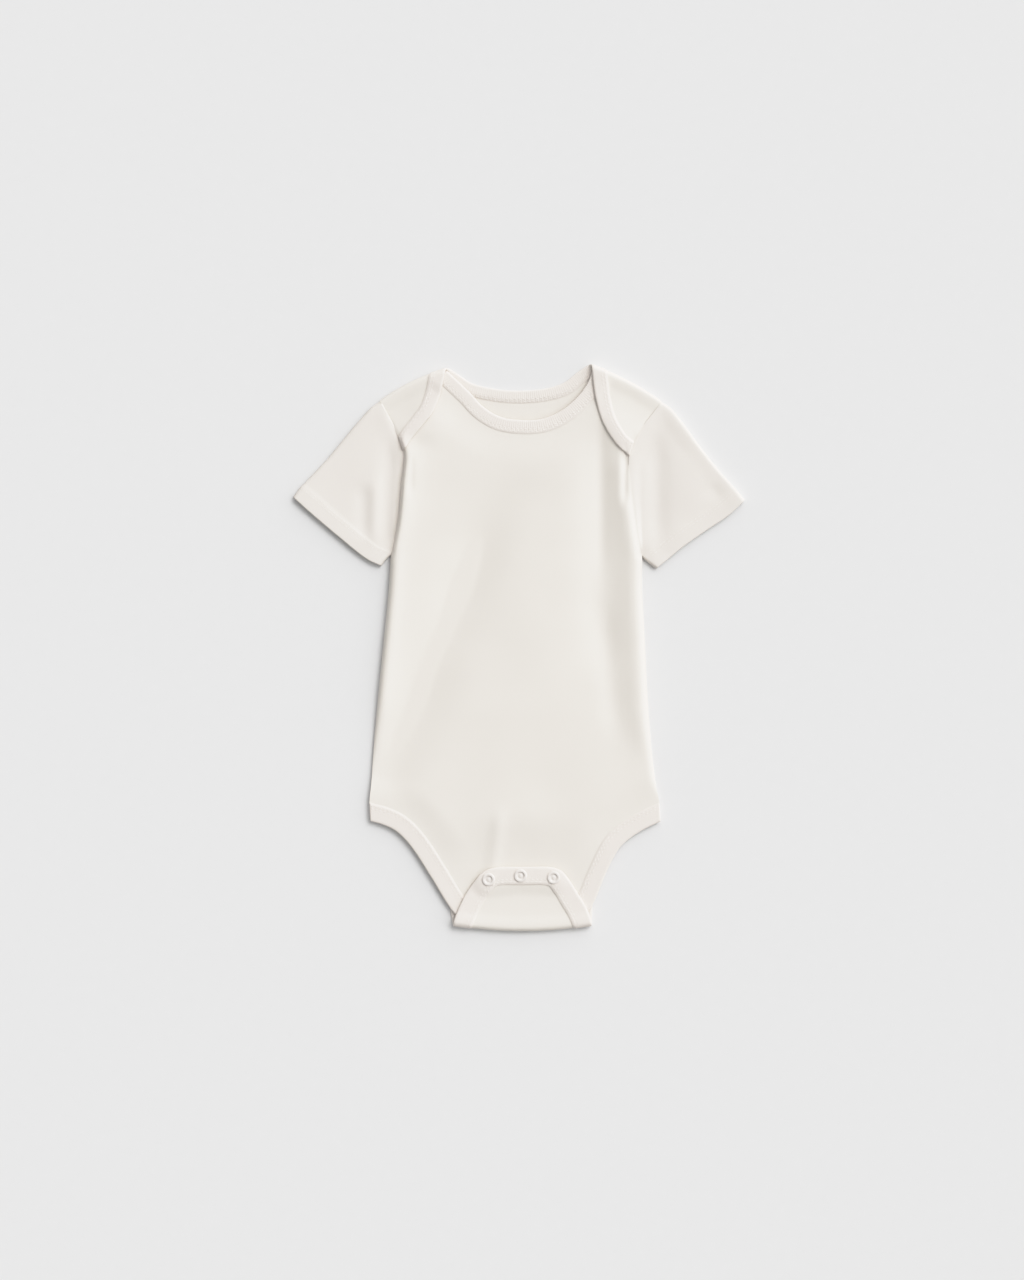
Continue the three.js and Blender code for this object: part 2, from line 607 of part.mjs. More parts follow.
const SHOULDER_COLUMNS = [0, 0.05, 0.13, 0.26, 0.5, 0.75, 1];
const NECK_COLUMNS = 12;
const BACK_ROWS = [10, 4, 10]; // up the leg, the side and the armhole
const ROLL_ROWS = 6;
const LAP_ROWS = 9;
const FLAP_ROWS = 7;
function backPanel() {
  const neck = seamOf(backNeckBand, NECK_RIB);
  const leg = seamOf(backLegBand, LEG_RIB);
  const [lapSeamLeft, afterLap] = splitWhere(neck, roundRoll(leftFold), 1);
  const [rollSeamLeft, afterRoll] = splitWhere(afterLap, roundRoll(leftFold), 0);
  const [neckSeam, beforeRoll] = splitWhere(afterRoll, roundRoll(rightFold), 0);
  const [rollSeamRight, lapSeamRight] = splitWhere(beforeRoll, roundRoll(rightFold), 1);
  const [legLeft, afterLeg] = splitWhere(leg, roundRoll(crotchFold), 0);
  const [crotchLeft, afterCrotch] = splitWhere(afterLeg, roundRoll(crotchFold), 1);
  const [flapEdge, beforeCrotch] = splitWhere(afterCrotch, roundRoll(crotchFold), 1);
  const [crotchRight, legRight] = splitWhere(beforeCrotch, roundRoll(crotchFold), 0);

  // Body
  const neckLeft = neckSeam[0];
  const neckRight = neckSeam[neckSeam.length - 1];
  const shoulderLeft = alongFold(leftFold, tipLeft, neckLeft, SHOULDER_COLUMNS, 0);
  const shoulderRight = alongFold(rightFold, neckRight, tipRight,
    backwards(SHOULDER_COLUMNS).map((t) => 1 - t), 0);
  const top = [
    ...shoulderLeft,
    ...sample(neckSeam, bendShares(neckSeam, NECK_COLUMNS)).slice(1, -1),
    ...shoulderRight,
  ];
  const along = lengthsOf(top);
  const columns = along.map((length) => length / along[along.length - 1]);
  const crotch = alongFold(crotchFold, crotchLeft[0], crotchRight[crotchRight.length - 1], columns, 0);
  const edge = (legSide, side, armhole) => {
    const start = legSide[legSide.length - 1];
    return follow([legSide, [start, ...side.filter(([, y]) => y > start[1] + 1)], armhole], BACK_ROWS);
  };
  const sheet = new Sheet().grid(coons({
    bottom: crotch,
    top,
    left: edge(backwards(legLeft), sideLeft, armUpLeft),
    right: edge(legRight, sideRight, armUpRight),
  }));

  // Shoulder laps
  const roll = evenly(ROLL_ROWS);
  const lapRows = evenly(LAP_ROWS);
  const addLap = ({ fold, shoulder, armhole, corner, rollSeam, lapSeam, armOnLeft }) => {
    const cornerHeight = corner[1] + 1;
    const down = backwards(armhole)
      .filter(([, y]) => y > cornerHeight + NECK_RIB)
      .map((p) => unfold(fold, p));
    const tip = lapSeam[lapSeam.length - 1];
    const armRoll = sample([armOnLeft ? shoulder[0] : shoulder[shoulder.length - 1], down[0]], roll);
    const neckRoll = sample(rollSeam, roll);
    const armLap = sample([...down, tip], lapRows);
    const neckLap = sample(lapSeam, lapRows);
    const ends = armOnLeft ? [down[0], lapSeam[0]] : [lapSeam[0], down[0]];
    const shares = armOnLeft ? SHOULDER_COLUMNS : backwards(SHOULDER_COLUMNS).map((t) => 1 - t);
    const over = alongFold(fold, ends[0], ends[1], shares, 1);
    sheet.grid(coons({
      bottom: shoulder,
      top: over,
      left: armOnLeft ? armRoll : neckRoll,
      right: armOnLeft ? neckRoll : armRoll,
    }));
    sheet.grid(coons({
      bottom: over,
      top: over.map(() => tip),
      left: armOnLeft ? armLap : neckLap,
      right: armOnLeft ? neckLap : armLap,
    }));
  };
  addLap({
    fold: leftFold,
    shoulder: shoulderLeft,
    armhole: armUpLeft,
    corner: cornerLeft,
    rollSeam: backwards(rollSeamLeft),
    lapSeam: backwards(lapSeamLeft),
    armOnLeft: true,
  });
  addLap({
    fold: rightFold,
    shoulder: shoulderRight,
    armhole: armUpRight,
    corner: cornerRight,
    rollSeam: rollSeamRight,
    lapSeam: lapSeamRight,
    armOnLeft: false,
  });

  // Crotch flap
  const over = alongFold(crotchFold, crotchLeft[crotchLeft.length - 1], crotchRight[0], columns, 1);
  const flapColumns = evenly(columns.length - 1);
  const side = 0.34; // the share of the flap's edge on each side
  const flapLine = (from, to, shares) => sample(flapEdge, shares.map((t) => lerp(from, to, t)));
  const flapRows = evenly(FLAP_ROWS);
  sheet.grid(backwards(coons({
    bottom: crotch,
    top: over,
    left: sample(crotchLeft, roll),
    right: sample(backwards(crotchRight), roll),
  })));
  sheet.grid(backwards(coons({
    bottom: over,
    top: flapLine(side, 1 - side, flapColumns),
    left: flapLine(0, side, flapRows),
    right: flapLine(1, 1 - side, flapRows),
  })));
  return clothOf(sheet, backPoint);
}

// Bindings
const SPACING = { neck: 6, leg: 8 };
function binding(stations, side, surface, shift, spacing) {
  return ribOf(bandSheet(thin(stations, spacingOf(spacing)), side), surface, shift);
}

// Sleeves: the outermost line of each edge, seen from above
const SLEEVE_LEFT = {
  outer: [
    [-99.8, 178.8], [-105, 174.6], [-109.8, 169.8], [-124.2, 153],
    [-137.9, 136.4], [-156.4, 116.6], [-162, 108.9],
  ],
  hem: [[-162, 108.9], [-150.1, 98.2], [-128.5, 79.9], [-108.4, 64.1], [-99, 59.8]],
  under: [[-91.6, 69], [-95.4, 64.6], [-99, 59.8]],
};
const SLEEVE_RIGHT = {
  outer: [
    [103.4, 178], [108.8, 174], [119.2, 161.6], [130.7, 145.6],
    [143.6, 129.4], [153.7, 118.1], [162.6, 106.8],
  ],
  hem: [
    [162.6, 106.8], [151.6, 96.5], [135, 85.2], [119.2, 74.2], [106.9, 64.2], [99.2, 57.9],
  ],
  under: [[88.8, 67], [93.6, 62.4], [99.2, 57.9]],
};
const SLEEVE = {
  stations: [0, 0.02, 0.06, 0.12, 0.2, 0.32, 0.45, 0.58, 0.7, 0.8, 0.86, 0.9, 0.95, 1], // to the hem
  across: 11, // along each layer
  round: 5, // along each rolled edge
  atShoulder: 2.05, // radius of the rolled edge
  atUnderarm: 1.2,
  atHem: 1.75,
  middle: 4.3, // the top layer's mid-surface
  setback: 0.75, // from the armhole to the sleeve's edge
  edgeBlend: 12, // from a rolled edge to the top layer's own height
  dense: 40, // steps along each edge before they are thinned out
};
function sleevePoints({ outer, hem, under }, armhole, corner, folds, outward) {
  const dense = evenly(SLEEVE.dense);
  const smoothEdge = (table) => sample(curveThrough(table), dense);
  const seam = sample(backwards(armhole), dense).map(([x, y]) => [x + outward * SLEEVE.setback, y]);
  const outerEdge = sample(curveThrough([seam[0], ...outer.slice(1)]), SLEEVE.stations);
  const underEdge = sample(curveThrough([seam[SLEEVE.dense], ...under.slice(1)]), SLEEVE.stations);
  const lines = coons({ bottom: seam, top: smoothEdge(hem), left: outerEdge, right: underEdge });
  const cornerShare = 1 - nearest(armhole, corner).share;
  return lines.map((line, j) => {
    const s = SLEEVE.stations[j];
    const total = lengthsOf(line)[line.length - 1];
    const atOuter = lerp(SLEEVE.atShoulder, SLEEVE.atHem, smooth(0, 0.6, s));
    const atUnder = lerp(SLEEVE.atUnderarm, SLEEVE.atHem, smooth(0, 1, s));
    const at = (d) => sample(line, [clamp01(d / total)])[0];
    const edgeRoll = (radius, fromEnd, up) => evenly(SLEEVE.round).map((t) => {
      const angle = (up ? t - 0.5 : 0.5 - t) * Math.PI;
      const inset = radius + HALF - radius * Math.cos(angle);
      const d = fromEnd ? total - inset : inset;
      return [...at(d), BACK_MID + radius + radius * Math.sin(angle)];
    });
    const from = atOuter + HALF;
    const to = total - atUnder - HALF;
    const topHeight = (t, p) => {
      const rim = BACK_MID + 2 * lerp(atOuter, atUnder, smooth(0.3, 0.7, t));
      const edges = Math.min(t * (to - from), (1 - t) * (to - from));
      const onPanel = t < cornerShare
        ? lerp(BACK_MID + 2 * SLEEVE.atShoulder, ARM_RIM + LAP_LIFT, smooth(0, 0.3, t))
        : ARM_RIM;
      const own = SLEEVE.middle + foldRise(folds, p);
      const joined = lerp(onPanel, own, smooth(0, 0.22, s));
      return lerp(rim, joined, smooth(0, SLEEVE.edgeBlend, edges));
    };
    const shares = evenly(SLEEVE.across).slice(1, -1);
    const top = shares.map((t) => {
      const p = at(lerp(from, to, t));
      return [...p, topHeight(t, p)];
    });
    const bottom = backwards(shares).map((t) => [...at(lerp(from, to, t)), BACK_MID]);
    return [...edgeRoll(atOuter, false, true), ...top, ...edgeRoll(atUnder, true, false), ...bottom];
  });
}

// A tube with a wall, from rings of points that run round it.
function tube(rings, halfAt, outSign) {
  const v = rings.map((ring) => ring.map((p) => new THREE.Vector3(...p)));
  const count = v[0].length;
  const normal = (j, i) => {
    const round = v[j][(i + 1) % count].clone().sub(v[j][(i + count - 1) % count]);
    const along = v[Math.min(j + 1, v.length - 1)][i].clone().sub(v[Math.max(j - 1, 0)][i]);
    return round.cross(along).normalize().multiplyScalar(outSign);
  };
  const skins = [1, -1].map((side) => v.map((ring, j) => ring.map((p, i) => {
    const half = side > 0 ? halfAt(j, i) : HALF;
    return p.clone().addScaledVector(normal(j, i), side * half);
  })));
  const corners = skins.flat(2);
  const id = (skin, j, i) => (skin * v.length + j) * count + (i % count);
  const triangles = [];
  const quad = (a, b, c, d) => (outSign > 0 ? triangles.push([a, b, c], [a, c, d])
    : triangles.push([c, b, a], [d, c, a]));
  for (let i = 0; i < count; i++) {
    for (let j = 1; j < v.length; j++) {
      quad(id(0, j - 1, i), id(0, j - 1, i + 1), id(0, j, i + 1), id(0, j, i));
      quad(id(1, j, i), id(1, j, i + 1), id(1, j - 1, i + 1), id(1, j - 1, i));
    }
    quad(id(1, 0, i), id(1, 0, i + 1), id(0, 0, i + 1), id(0, 0, i));
    const end = v.length - 1;
    quad(id(0, end, i), id(0, end, i + 1), id(1, end, i + 1), id(1, end, i));
  }
  return geometryOf(corners, triangles);
}

function sleeve(edges, armhole, corner, folds, outward) {
  const rings = sleevePoints(edges, armhole, corner, folds, outward);
  const count = rings[0].length;
  const hemLine = curveThrough(edges.hem);
  const halfAt = (j, i) => {
    const onTop = i > 0 && i < count / 2 + 2;
    const hem = 1 - smooth(HEM_DEPTH - 2, HEM_DEPTH + 1, nearest(hemLine, rings[j][i]).away);
    return HALF + (onTop ? HEM_EXTRA * hem : 0);
  };
  return tube(rings, halfAt, outward);
}

// Solid geometry: joins and cuts
function toManifold(geometry) {
  const bare = new THREE.BufferGeometry();
  bare.setAttribute("position", geometry.getAttribute("position"));
  if (geometry.index) bare.setIndex(geometry.index);
  const merged = mergeVertices(bare, 1e-4);
  return new wasm.Manifold(new wasm.Mesh({
    numProp: 3,
    vertProperties: new Float32Array(merged.getAttribute("position").array),
    triVerts: new Uint32Array(merged.index.array),
  }));
}
function fromManifold(solid) {
  const mesh = solid.getMesh();
  const geometry = new THREE.BufferGeometry();
  geometry.setAttribute("position", new THREE.Float32BufferAttribute(mesh.vertProperties, 3));
  geometry.setIndex([...mesh.triVerts]);
  return geometry;
}
const ROUND = 16; // sides of a small round part
function disc({ x, y }, bottom, top, radius, topRadius = radius) {
  const geometry = new THREE.CylinderGeometry(topRadius, radius, top - bottom, ROUND);
  geometry.rotateX(Math.PI / 2);
  geometry.translate(x, y, (top + bottom) / 2);
  return toManifold(geometry);
}
const joined = (...solids) => solids.reduce((sum, solid) => sum.add(solid));

// Snaps: a ring cap and its socket on the flap, and a stud and its ring on the front
const SNAP = {
  ringRadius: 4.7,
  ringBore: 2.5,
  ringHeight: 1,
  buttonRadius: 1.4,
  postRadius: 1.1,
  holeRadius: 1.4,
  buttonHeight: 0.75,
  bevel: 0.6,
  socketRadius: 3.9,
  socketBore: 1.9,
  socketDepth: 0.9,
  studRadius: 1.6,
  studHeight: 0.9,
  backingRadius: 4.2,
  backingDepth: 0.8,
};
const flapTop = FLAP_AT_SNAPS - TOP_RIB_SHIFT + RIB_HALF;
const flapUnder = flapTop - 2 * RIB_HALF;
function snapCap(at) {
  const base = flapTop + SEAM_GAP;
  const bevelFrom = base + 0.6 * SNAP.ringHeight;
  const ring = joined(
    disc(at, base, bevelFrom, SNAP.ringRadius),
    disc(at, bevelFrom, base + SNAP.ringHeight, SNAP.ringRadius, SNAP.ringRadius - SNAP.bevel),
  ).subtract(disc(at, base + 0.35, base + 2, SNAP.ringBore));
  const under = flapUnder - SEAM_GAP;
  const socket = disc(at, under - SNAP.socketDepth, under, SNAP.socketRadius)
    .subtract(disc(at, under - 2, under - 0.3, SNAP.socketBore));
  const post = disc(at, under - 0.2, base + 0.2, SNAP.postRadius);
  const button = disc(at, base, base + SNAP.buttonHeight, SNAP.buttonRadius);
  return fromManifold(joined(ring, post, button, socket));
}
function snapStud(at) {
  const top = SNAP_RIM + HALF + SEAM_GAP;
  const under = SNAP_RIM - HALF - SEAM_GAP;
  return fromManifold(joined(
    disc(at, under - SNAP.backingDepth, under, SNAP.backingRadius),
    disc(at, under - 0.2, top + 0.1, SNAP.postRadius),
    disc(at, top, top + 0.4, SNAP.backingRadius - 0.6),
    disc(at, top + 0.2, top + SNAP.studHeight, SNAP.studRadius),
  ));
}
const withHoles = (geometry) => fromManifold(SNAPS.reduce(
  (solid, at) => solid.subtract(disc(at, -5, 20, SNAP.holeRadius)), toManifold(geometry)));

// The garment
const COLOURS = {
  cloth: "#f1ece6",
  sleeve: "#efeae4",
  rib: "#f2ebe5",
  snap: "#f6f5f3",
};
const garment = new THREE.Group();
garment.name = "baby_bodysuit";
garment.position.set(-0.29, -0.95, 0); // brings the footprint's middle to the origin
function piece(name, geometry, color, roughness = 0.95) {
  const material = new THREE.MeshStandardMaterial({ color, roughness, metalness: 0 });
  const mesh = new THREE.Mesh(geometry, material);
  mesh.name = name;
  garment.add(mesh);
}
const frontBand = (stations, side, spacing) => binding(stations, side, frontPoint, noShift, spacing);
const backBand = (stations, side, spacing) => binding(stations, side, backPoint, backRibShift, spacing);
const sleeves = {
  right: sleeve(SLEEVE_LEFT, armholeLeft, cornerLeft, SLEEVE_FOLDS.left, -1),
  left: sleeve(SLEEVE_RIGHT, armholeRight, cornerRight, SLEEVE_FOLDS.right, 1),
};
piece("back_panel", backPanel(), COLOURS.cloth);
piece("front_panel", withHoles(frontPanel()), COLOURS.cloth);
piece("sleeve_right", sleeves.right, COLOURS.sleeve);
piece("sleeve_left", sleeves.left, COLOURS.sleeve);
piece("neck_binding_front", frontBand(frontNeckBand, -1, SPACING.neck), COLOURS.rib);
piece("neck_binding_back", backBand(backNeckBand, -1, SPACING.neck), COLOURS.rib);
piece("leg_binding_front", frontBand(frontLegBand, 1, SPACING.leg), COLOURS.rib);
piece("leg_binding_back", withHoles(backBand(backLegBand, 1, SPACING.leg)), COLOURS.rib);
SNAPS.forEach((at, i) => {
  piece(`snap_cap_${i + 1}`, snapCap(at), COLOURS.snap, 0.35);
  piece(`snap_stud_${i + 1}`, snapStud(at), COLOURS.snap, 0.35);
});
export default garment;
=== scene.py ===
# A baby's short-sleeved bodysuit, laid flat, front up, on a pale floor.
# Sizes are in millimetres until a mesh is made, and then in metres.
import math
import bpy
import numpy as np
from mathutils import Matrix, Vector


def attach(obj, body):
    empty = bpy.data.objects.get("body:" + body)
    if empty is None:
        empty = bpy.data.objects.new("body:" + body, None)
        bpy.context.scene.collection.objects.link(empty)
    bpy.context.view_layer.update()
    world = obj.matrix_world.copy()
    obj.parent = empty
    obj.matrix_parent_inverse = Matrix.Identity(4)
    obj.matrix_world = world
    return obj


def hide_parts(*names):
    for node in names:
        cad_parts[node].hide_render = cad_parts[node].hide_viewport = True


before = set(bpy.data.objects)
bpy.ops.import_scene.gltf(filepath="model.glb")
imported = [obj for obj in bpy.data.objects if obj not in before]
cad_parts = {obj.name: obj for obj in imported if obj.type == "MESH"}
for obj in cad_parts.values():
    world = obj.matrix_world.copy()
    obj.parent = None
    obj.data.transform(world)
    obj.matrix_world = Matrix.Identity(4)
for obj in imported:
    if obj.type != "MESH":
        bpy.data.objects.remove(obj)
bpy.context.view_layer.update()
scene = bpy.context.scene

MM = 0.001
PIXEL = 0.72  # the real width of a pixel of the photograph
PHOTO_MIDDLE = np.array([-4.68, 6.48])
PHOTO_HEIGHT = 1280
FOOTPRINT_SHIFT = np.array([-0.29, -0.95])  # brings the footprint's middle to the origin

# Cloth and bindings
SOLID_HALF = 0.5  # half of the cloth's thickness in the CAD solids
CLOTH_HALF = 0.45
RIB_HALF = 0.95
NECK_RIB = 9.7
LEG_RIB = 12.5
NECK_KNIT = dict(pitch=1.45, depth=0.11, spacing=0.24)
LEG_KNIT = dict(pitch=1.2, depth=0.04, spacing=0.4)
BACK_NECK_DROP = 0.7  # how much the back neck's binding thins out at its seam
LAP_RIB = 0.12  # the share of the ribs' depth that is left on the laps
HEM_DEPTH = 12
HEM_EXTRA = 0.4
HEM_STITCHES = (9.2, 11.2)
TWO_ROWS = (1.6, 3.4)
GROOVE = 0.1  # depth of the lines that stitches press in
RIB_GROOVE_REACH = 0.45
HEM_GROOVE_REACH = 0.5
THREAD_DEPTH = 0.06
HEM_THREAD_DEPTH = 0.08
RIB_PINCH = 0.35  # how much thinner a binding gets at its seam
RIB_PINCH_REACH = 0.55
DROP_REACH = 2
# How far in from its edge each one is rounded
RIB_EDGE = 1.5
RIB_END = 1.2
HEM_EDGE = 0.9
INTO_SEAM = 0.3
TUCK = -0.7  # how far a panel's edge runs on inside its binding
SEAM_DIP = {"left": 0.45, "right": 0.1}
SEAM_WIDTH = 1.2

# Heights of the layers' middles above the floor
BACK_MID = SOLID_HALF
BACK_RIM_LIFT = 0.6
FRONT_MID = 5.4
SIDE_RIM = {"left": 2.4, "right": 3.0}
ARM_RIM = {"left": 3.0, "right": 5.2}
LAP_ARM_RIM = {"left": 2.0, "right": 4.2}
LEG_RIM = 3.9
NECK_RIM = 4.2
SHOULDER_TIP_RIM = 2.8
SHOULDER_NECK_RIM = 3.9
SNAP_RIM = 3.0
FRONT_LOWEST = 1.7
LAP_LIFT = 1.3
LAP_LIFT_ON_RIB = 2.2
FLAP_LIFT = 1.9
FLAP_AT_SNAPS = 6.3
BACK_RIB_SHIFT = RIB_HALF - SOLID_HALF
TOP_RIB_SHIFT = -0.3

# How far from an edge a layer reaches its own height
SIDE_ROLL = 5
BACK_CURL = 5
ARM_RISE = {"left": 2.5, "right": 5}
LAP_ARM_RISE = {"left": 26, "right": 5}
LEG_BLEND = 22
NECK_BLEND = 24
LAP_RIB_BLEND = 8
FOLD_BLEND = (8, 40)
SNAP_BLEND = (8, 46)
FLAP_SNAP_BLEND = (5, 15)
RAMP_FROM_FOLD = 9

# Heights on the body, in y, between which one shape passes into another
LAP_FROM = (148, 172)
RIDGE_TOP = (125, 160)
SIDE_TO_LEG = (-88, -104)
CURL_FROM = (-112, -100)

# Outlines, seen from above: x and y of each point
SIDE_LEFT = [
    (-107.2, -110), (-106, -98), (-104.6, -80), (-103, -60), (-100.5, -33), (-98, -8), (-95.1, 20),
    (-92.7, 46), (-91.4, 69)]
SIDE_RIGHT = [
    (101.2, -110), (98.6, -98), (96.2, -80), (94.3, -60), (92.4, -33), (91.2, -8), (89.8, 20), (88.5, 46),
    (88.6, 67)]
ARMHOLE_LEFT = [(-91.4, 69), (-86.8, 92), (-84.2, 119), (-82.6, 141), (-88.6, 157), (-99.8, 178.4)]
ARMHOLE_RIGHT = [(88.6, 67), (83.9, 96), (81, 119), (79.8, 138.5), (86, 154.7), (103.2, 177.7)]
FRONT_NECK = [
    (-52, 200.4), (-42.8, 191.8), (-33.9, 183.2), (-25.6, 174.4), (-13.6, 167.2), (1.6, 164.6),
    (17.1, 165.6), (29.2, 170.6), (41.2, 180.2), (50, 192), (54, 203)]
BACK_NECK = [
    (-41.3, 196.2), (-34.4, 191.6), (-17, 187.3), (-2, 186), (18.4, 187.4), (32.8, 191.8), (42.2, 199)]
FRONT_LEG = [
    (-106.6, -123.8), (-97, -126.6), (-88.2, -131), (-78, -141.3), (-63.7, -162.9), (-50.6, -184.2),
    (-44.6, -191.4), (-34, -195), (2, -196), (39, -195), (47.6, -191), (53.6, -183.2),
    (62.3, -162.6), (67.4, -151.8), (74.2, -141.2), (88.2, -130.8), (102.2, -124)]
BACK_LEG_LEFT = [
    (-105.8, -123), (-95.6, -125.7), (-87.4, -130), (-77.2, -140.4), (-62.9, -162), (-51, -181.6),
    (-48.4, -192)]
BACK_LEG_RIGHT = [
    (53, -192), (53.8, -182), (61.5, -161.8), (66.6, -151), (73.4, -140.4), (87.4, -130), (101.4, -123.2)]
LAP_LEFT = [(-54, 192.6), (-57.4, 179.9), (-62.1, 169.3), (-69.3, 160.2), (-76.5, 151.4), (-82.4, 142.6)]
LAP_RIGHT = [(53.9, 190), (56, 177.5), (59.8, 164.8), (65.4, 154.2), (72, 145.4), (79.6, 138.8)]
FLAP = [
    (-46.8, -196.8), (-44, -188.6), (-39.4, -178.5), (-31.7, -166.9), (-25.4, -160.2), (-17, -157),
    (3, -156.5), (22.6, -156.7), (30.6, -159.4), (36.4, -166), (42.6, -175.7), (48.8, -186), (52.4, -196.4)]
FOLDS = {
    "left": dict(start=(-99.8, 178.9), end=(-51.8, 202), bulge=2.4, low=2.05, high=2.95, outward=-1),
    "right": dict(start=(103.4, 178.1), end=(53.4, 204.4), bulge=2.0, low=2.05, high=2.95, outward=1),
}
CROTCH = dict(y=-203, x=2.4, half_width=49.6, rise=4, radius=2.9)
SNAPS = [(-21.6, -165.6), (1.4, -162.9), (25.2, -164.2)]
# Where the front's shoulder ends and its neck binding end, as shares of the shoulder fold's turn
INSIDE_FOLD = -0.3
BINDING_IN_FOLD = 0.14

# Soft folds: where each starts and ends, its width, and how far up or down it goes
FRONT_FOLDS = [
    ((59, 185), (60, 40), 5, -0.9),
    ((59, 185), (60, -30), 14, -2.9),
    ((60, 40), (72, -75), 9, -1.4),
    ((77.5, 150), (76.5, 100), 2.6, -2.2),
    ((1.5, 150), (-120, -150), 20, -4.4),
    ((26, 120), (6, -100), 30, 1.0),
    ((-77, 142), (-78, 108), 2.6, -0.8),
    ((-50, 192), (-72, 146), 12, 1.1),
    ((56, 192), (78, 140), 11, 1.0),
]
FOLDS_AT_SNAPS = [((-12, -108), (-20.5, -176), 5, 1.0)]
SLEEVE_FOLDS = {
    "left": [
        ((-102, 128), (-104, 72), 5, 0.9),
        ((-112, 122), (-111, 76), 6, -0.9),
        ((-91, 160), (-95, 56), 7, -1.9),
    ],
    "right": [
        ((99, 165), (101, 62), 8, -1.6),
        ((139, 120), (146, 108), 7, -0.5),
        ((120, 150), (128, 90), 12, 0.5),
    ],
}
# Soft ridges along the side seams and armholes: height, how far in the crest is, and how wide
EDGE_RIDGES = {"left": (3.3, 2, 8), "right": (2.4, 6, 9)}
RIDGE_ENDS = {"left": (-95, -15), "right": (-88, -45)}
# Faint waves that cloth keeps when it is smoothed by hand: wavelength, direction and height
WAVES = [(61, 0.4, 0.14), (38, 1.9, 0.07)]
SLEEVES = {
    "left": dict(
        outer=[(-99.8, 178.8), (-105, 174.6), (-109.8, 169.8), (-124.2, 153), (-137.9, 136.4),
               (-156.4, 116.6), (-162, 108.9)],
        hem=[(-162, 108.9), (-150.1, 98.2), (-128.5, 79.9), (-108.4, 64.1), (-99, 59.8)],
        under=[(-95.4, 64.6), (-99, 59.8)], outward=-1),
    "right": dict(
        outer=[(103.4, 178), (108.8, 174), (119.2, 161.6), (130.7, 145.6), (143.6, 129.4), (153.7, 118.1),
               (162.6, 106.8)],
        hem=[(162.6, 106.8), (151.6, 96.5), (135, 85.2), (119.2, 74.2), (106.9, 64.2), (99.2, 57.9)],
        under=[(93.6, 62.4), (99.2, 57.9)], outward=1),
}
SLEEVE_SHAPE = dict(at_shoulder=2.05, at_underarm=1.2, at_hem=1.75, tuck=0.6)
SLEEVE_MIDDLE = {"left": 3.9, "right": 3.6}
SLEEVE_RIM = {"left": 2.0, "right": 5.0}


# Plain curves
def smooth(start, end, value):
    t = np.clip((np.asarray(value, float) - start) / (end - start), 0, 1)
    return t * t * (3 - 2 * t)


def lerp(a, b, t):
    return a + (b - a) * t


def bell(away):
    """1 at no distance, and almost 0 from twice the reach on."""
    return np.exp(-(away ** 2))


def unit(v):
    v = np.asarray(v, float)
    return v / np.linalg.norm(v, axis=-1, keepdims=True)


def lengths(line):
    steps = np.linalg.norm(np.diff(line, axis=0), axis=1)
    return np.concatenate([[0], np.cumsum(steps)])


def at_lengths(goal, along, rows):
    """Rows of numbers that stand at lengths along a line, read at other lengths."""
    return np.stack([np.interp(goal, along, column) for column in rows.T], axis=1)


def sample(line, shares):
    line = np.asarray(line, float)
    along = lengths(line)
    return at_lengths(np.asarray(shares, float) * along[-1], along, line)


def curve_through(points, spacing=1.0):
    """A smooth curve through a table's points, as evenly spaced points."""
    p = np.asarray(points, float)
    p = np.vstack([2 * p[0] - p[1], p, 2 * p[-1] - p[-2]])
    dense = []
    for i in range(1, len(p) - 2):
        x0, x1, x2, x3 = p[i - 1:i + 3]
        d0, d1, d2 = (max(1e-4, np.linalg.norm(b - a)) ** 0.5 for a, b in ((x0, x1), (x1, x2), (x2, x3)))
        t1 = ((x1 - x0) / d0 - (x2 - x0) / (d0 + d1) + (x2 - x1) / d1) * d1
        t2 = ((x2 - x1) / d1 - (x3 - x1) / (d1 + d2) + (x3 - x2) / d2) * d1
        t = np.linspace(0, 1, 60, endpoint=False)[:, None]
        step = x2 - x1
        dense.append(x1 + t1 * t + (3 * step - 2 * t1 - t2) * t**2 + (t1 + t2 - 2 * step) * t**3)
    dense = np.vstack(dense + [p[-2:-1]])
    return sample(dense, np.linspace(0, 1, round(lengths(dense)[-1] / spacing) + 1))


def nearest(line, points):
    """How far each point is from a line, and the share of the line's length where it is nearest."""
    line = np.asarray(line, float)
    points = np.asarray(points, float)
    edge = np.diff(line, axis=0)
    size = (edge**2).sum(axis=1)
    away = np.empty(len(points))
    share = np.empty(len(points))
    for first in range(0, len(points), 4000):
        rel = points[first:first + 4000, None, :] - line[None, :-1]
        t = np.clip((rel * edge).sum(axis=2) / size, 0, 1)
        gap = ((rel - t[..., None] * edge) ** 2).sum(axis=2)
        k = gap.argmin(axis=1)
        row = np.arange(len(k))
        away[first:first + 4000] = np.sqrt(gap[row, k])
        share[first:first + 4000] = (k + t[row, k]) / len(edge)
    return away, share


def coarse(line):
    return sample(line, np.linspace(0, 1, round((len(line) - 1) / 3) + 1))


# Folds of the back
class ShoulderFold:
    def __init__(self, start, end, bulge, low, high, outward):
        self.start, self.bulge, self.low, self.high = np.array(start, float), bulge, low, high
        self.along = unit(np.subtract(end, start))
        self.length = np.linalg.norm(np.subtract(end, start))
        self.normal = np.array([self.along[1] * outward, -self.along[0] * outward])
        self.line = np.array([start, end], float)

    def place(self, p):
        rel = p - self.start
        share = np.clip(rel @ self.along / self.length, 0, 1)
        radius = lerp(self.low, self.high, smooth(0, 1, share))
        beyond = rel @ self.normal - self.bulge * 4 * share * (1 - share) + radius + SOLID_HALF
        return beyond, radius


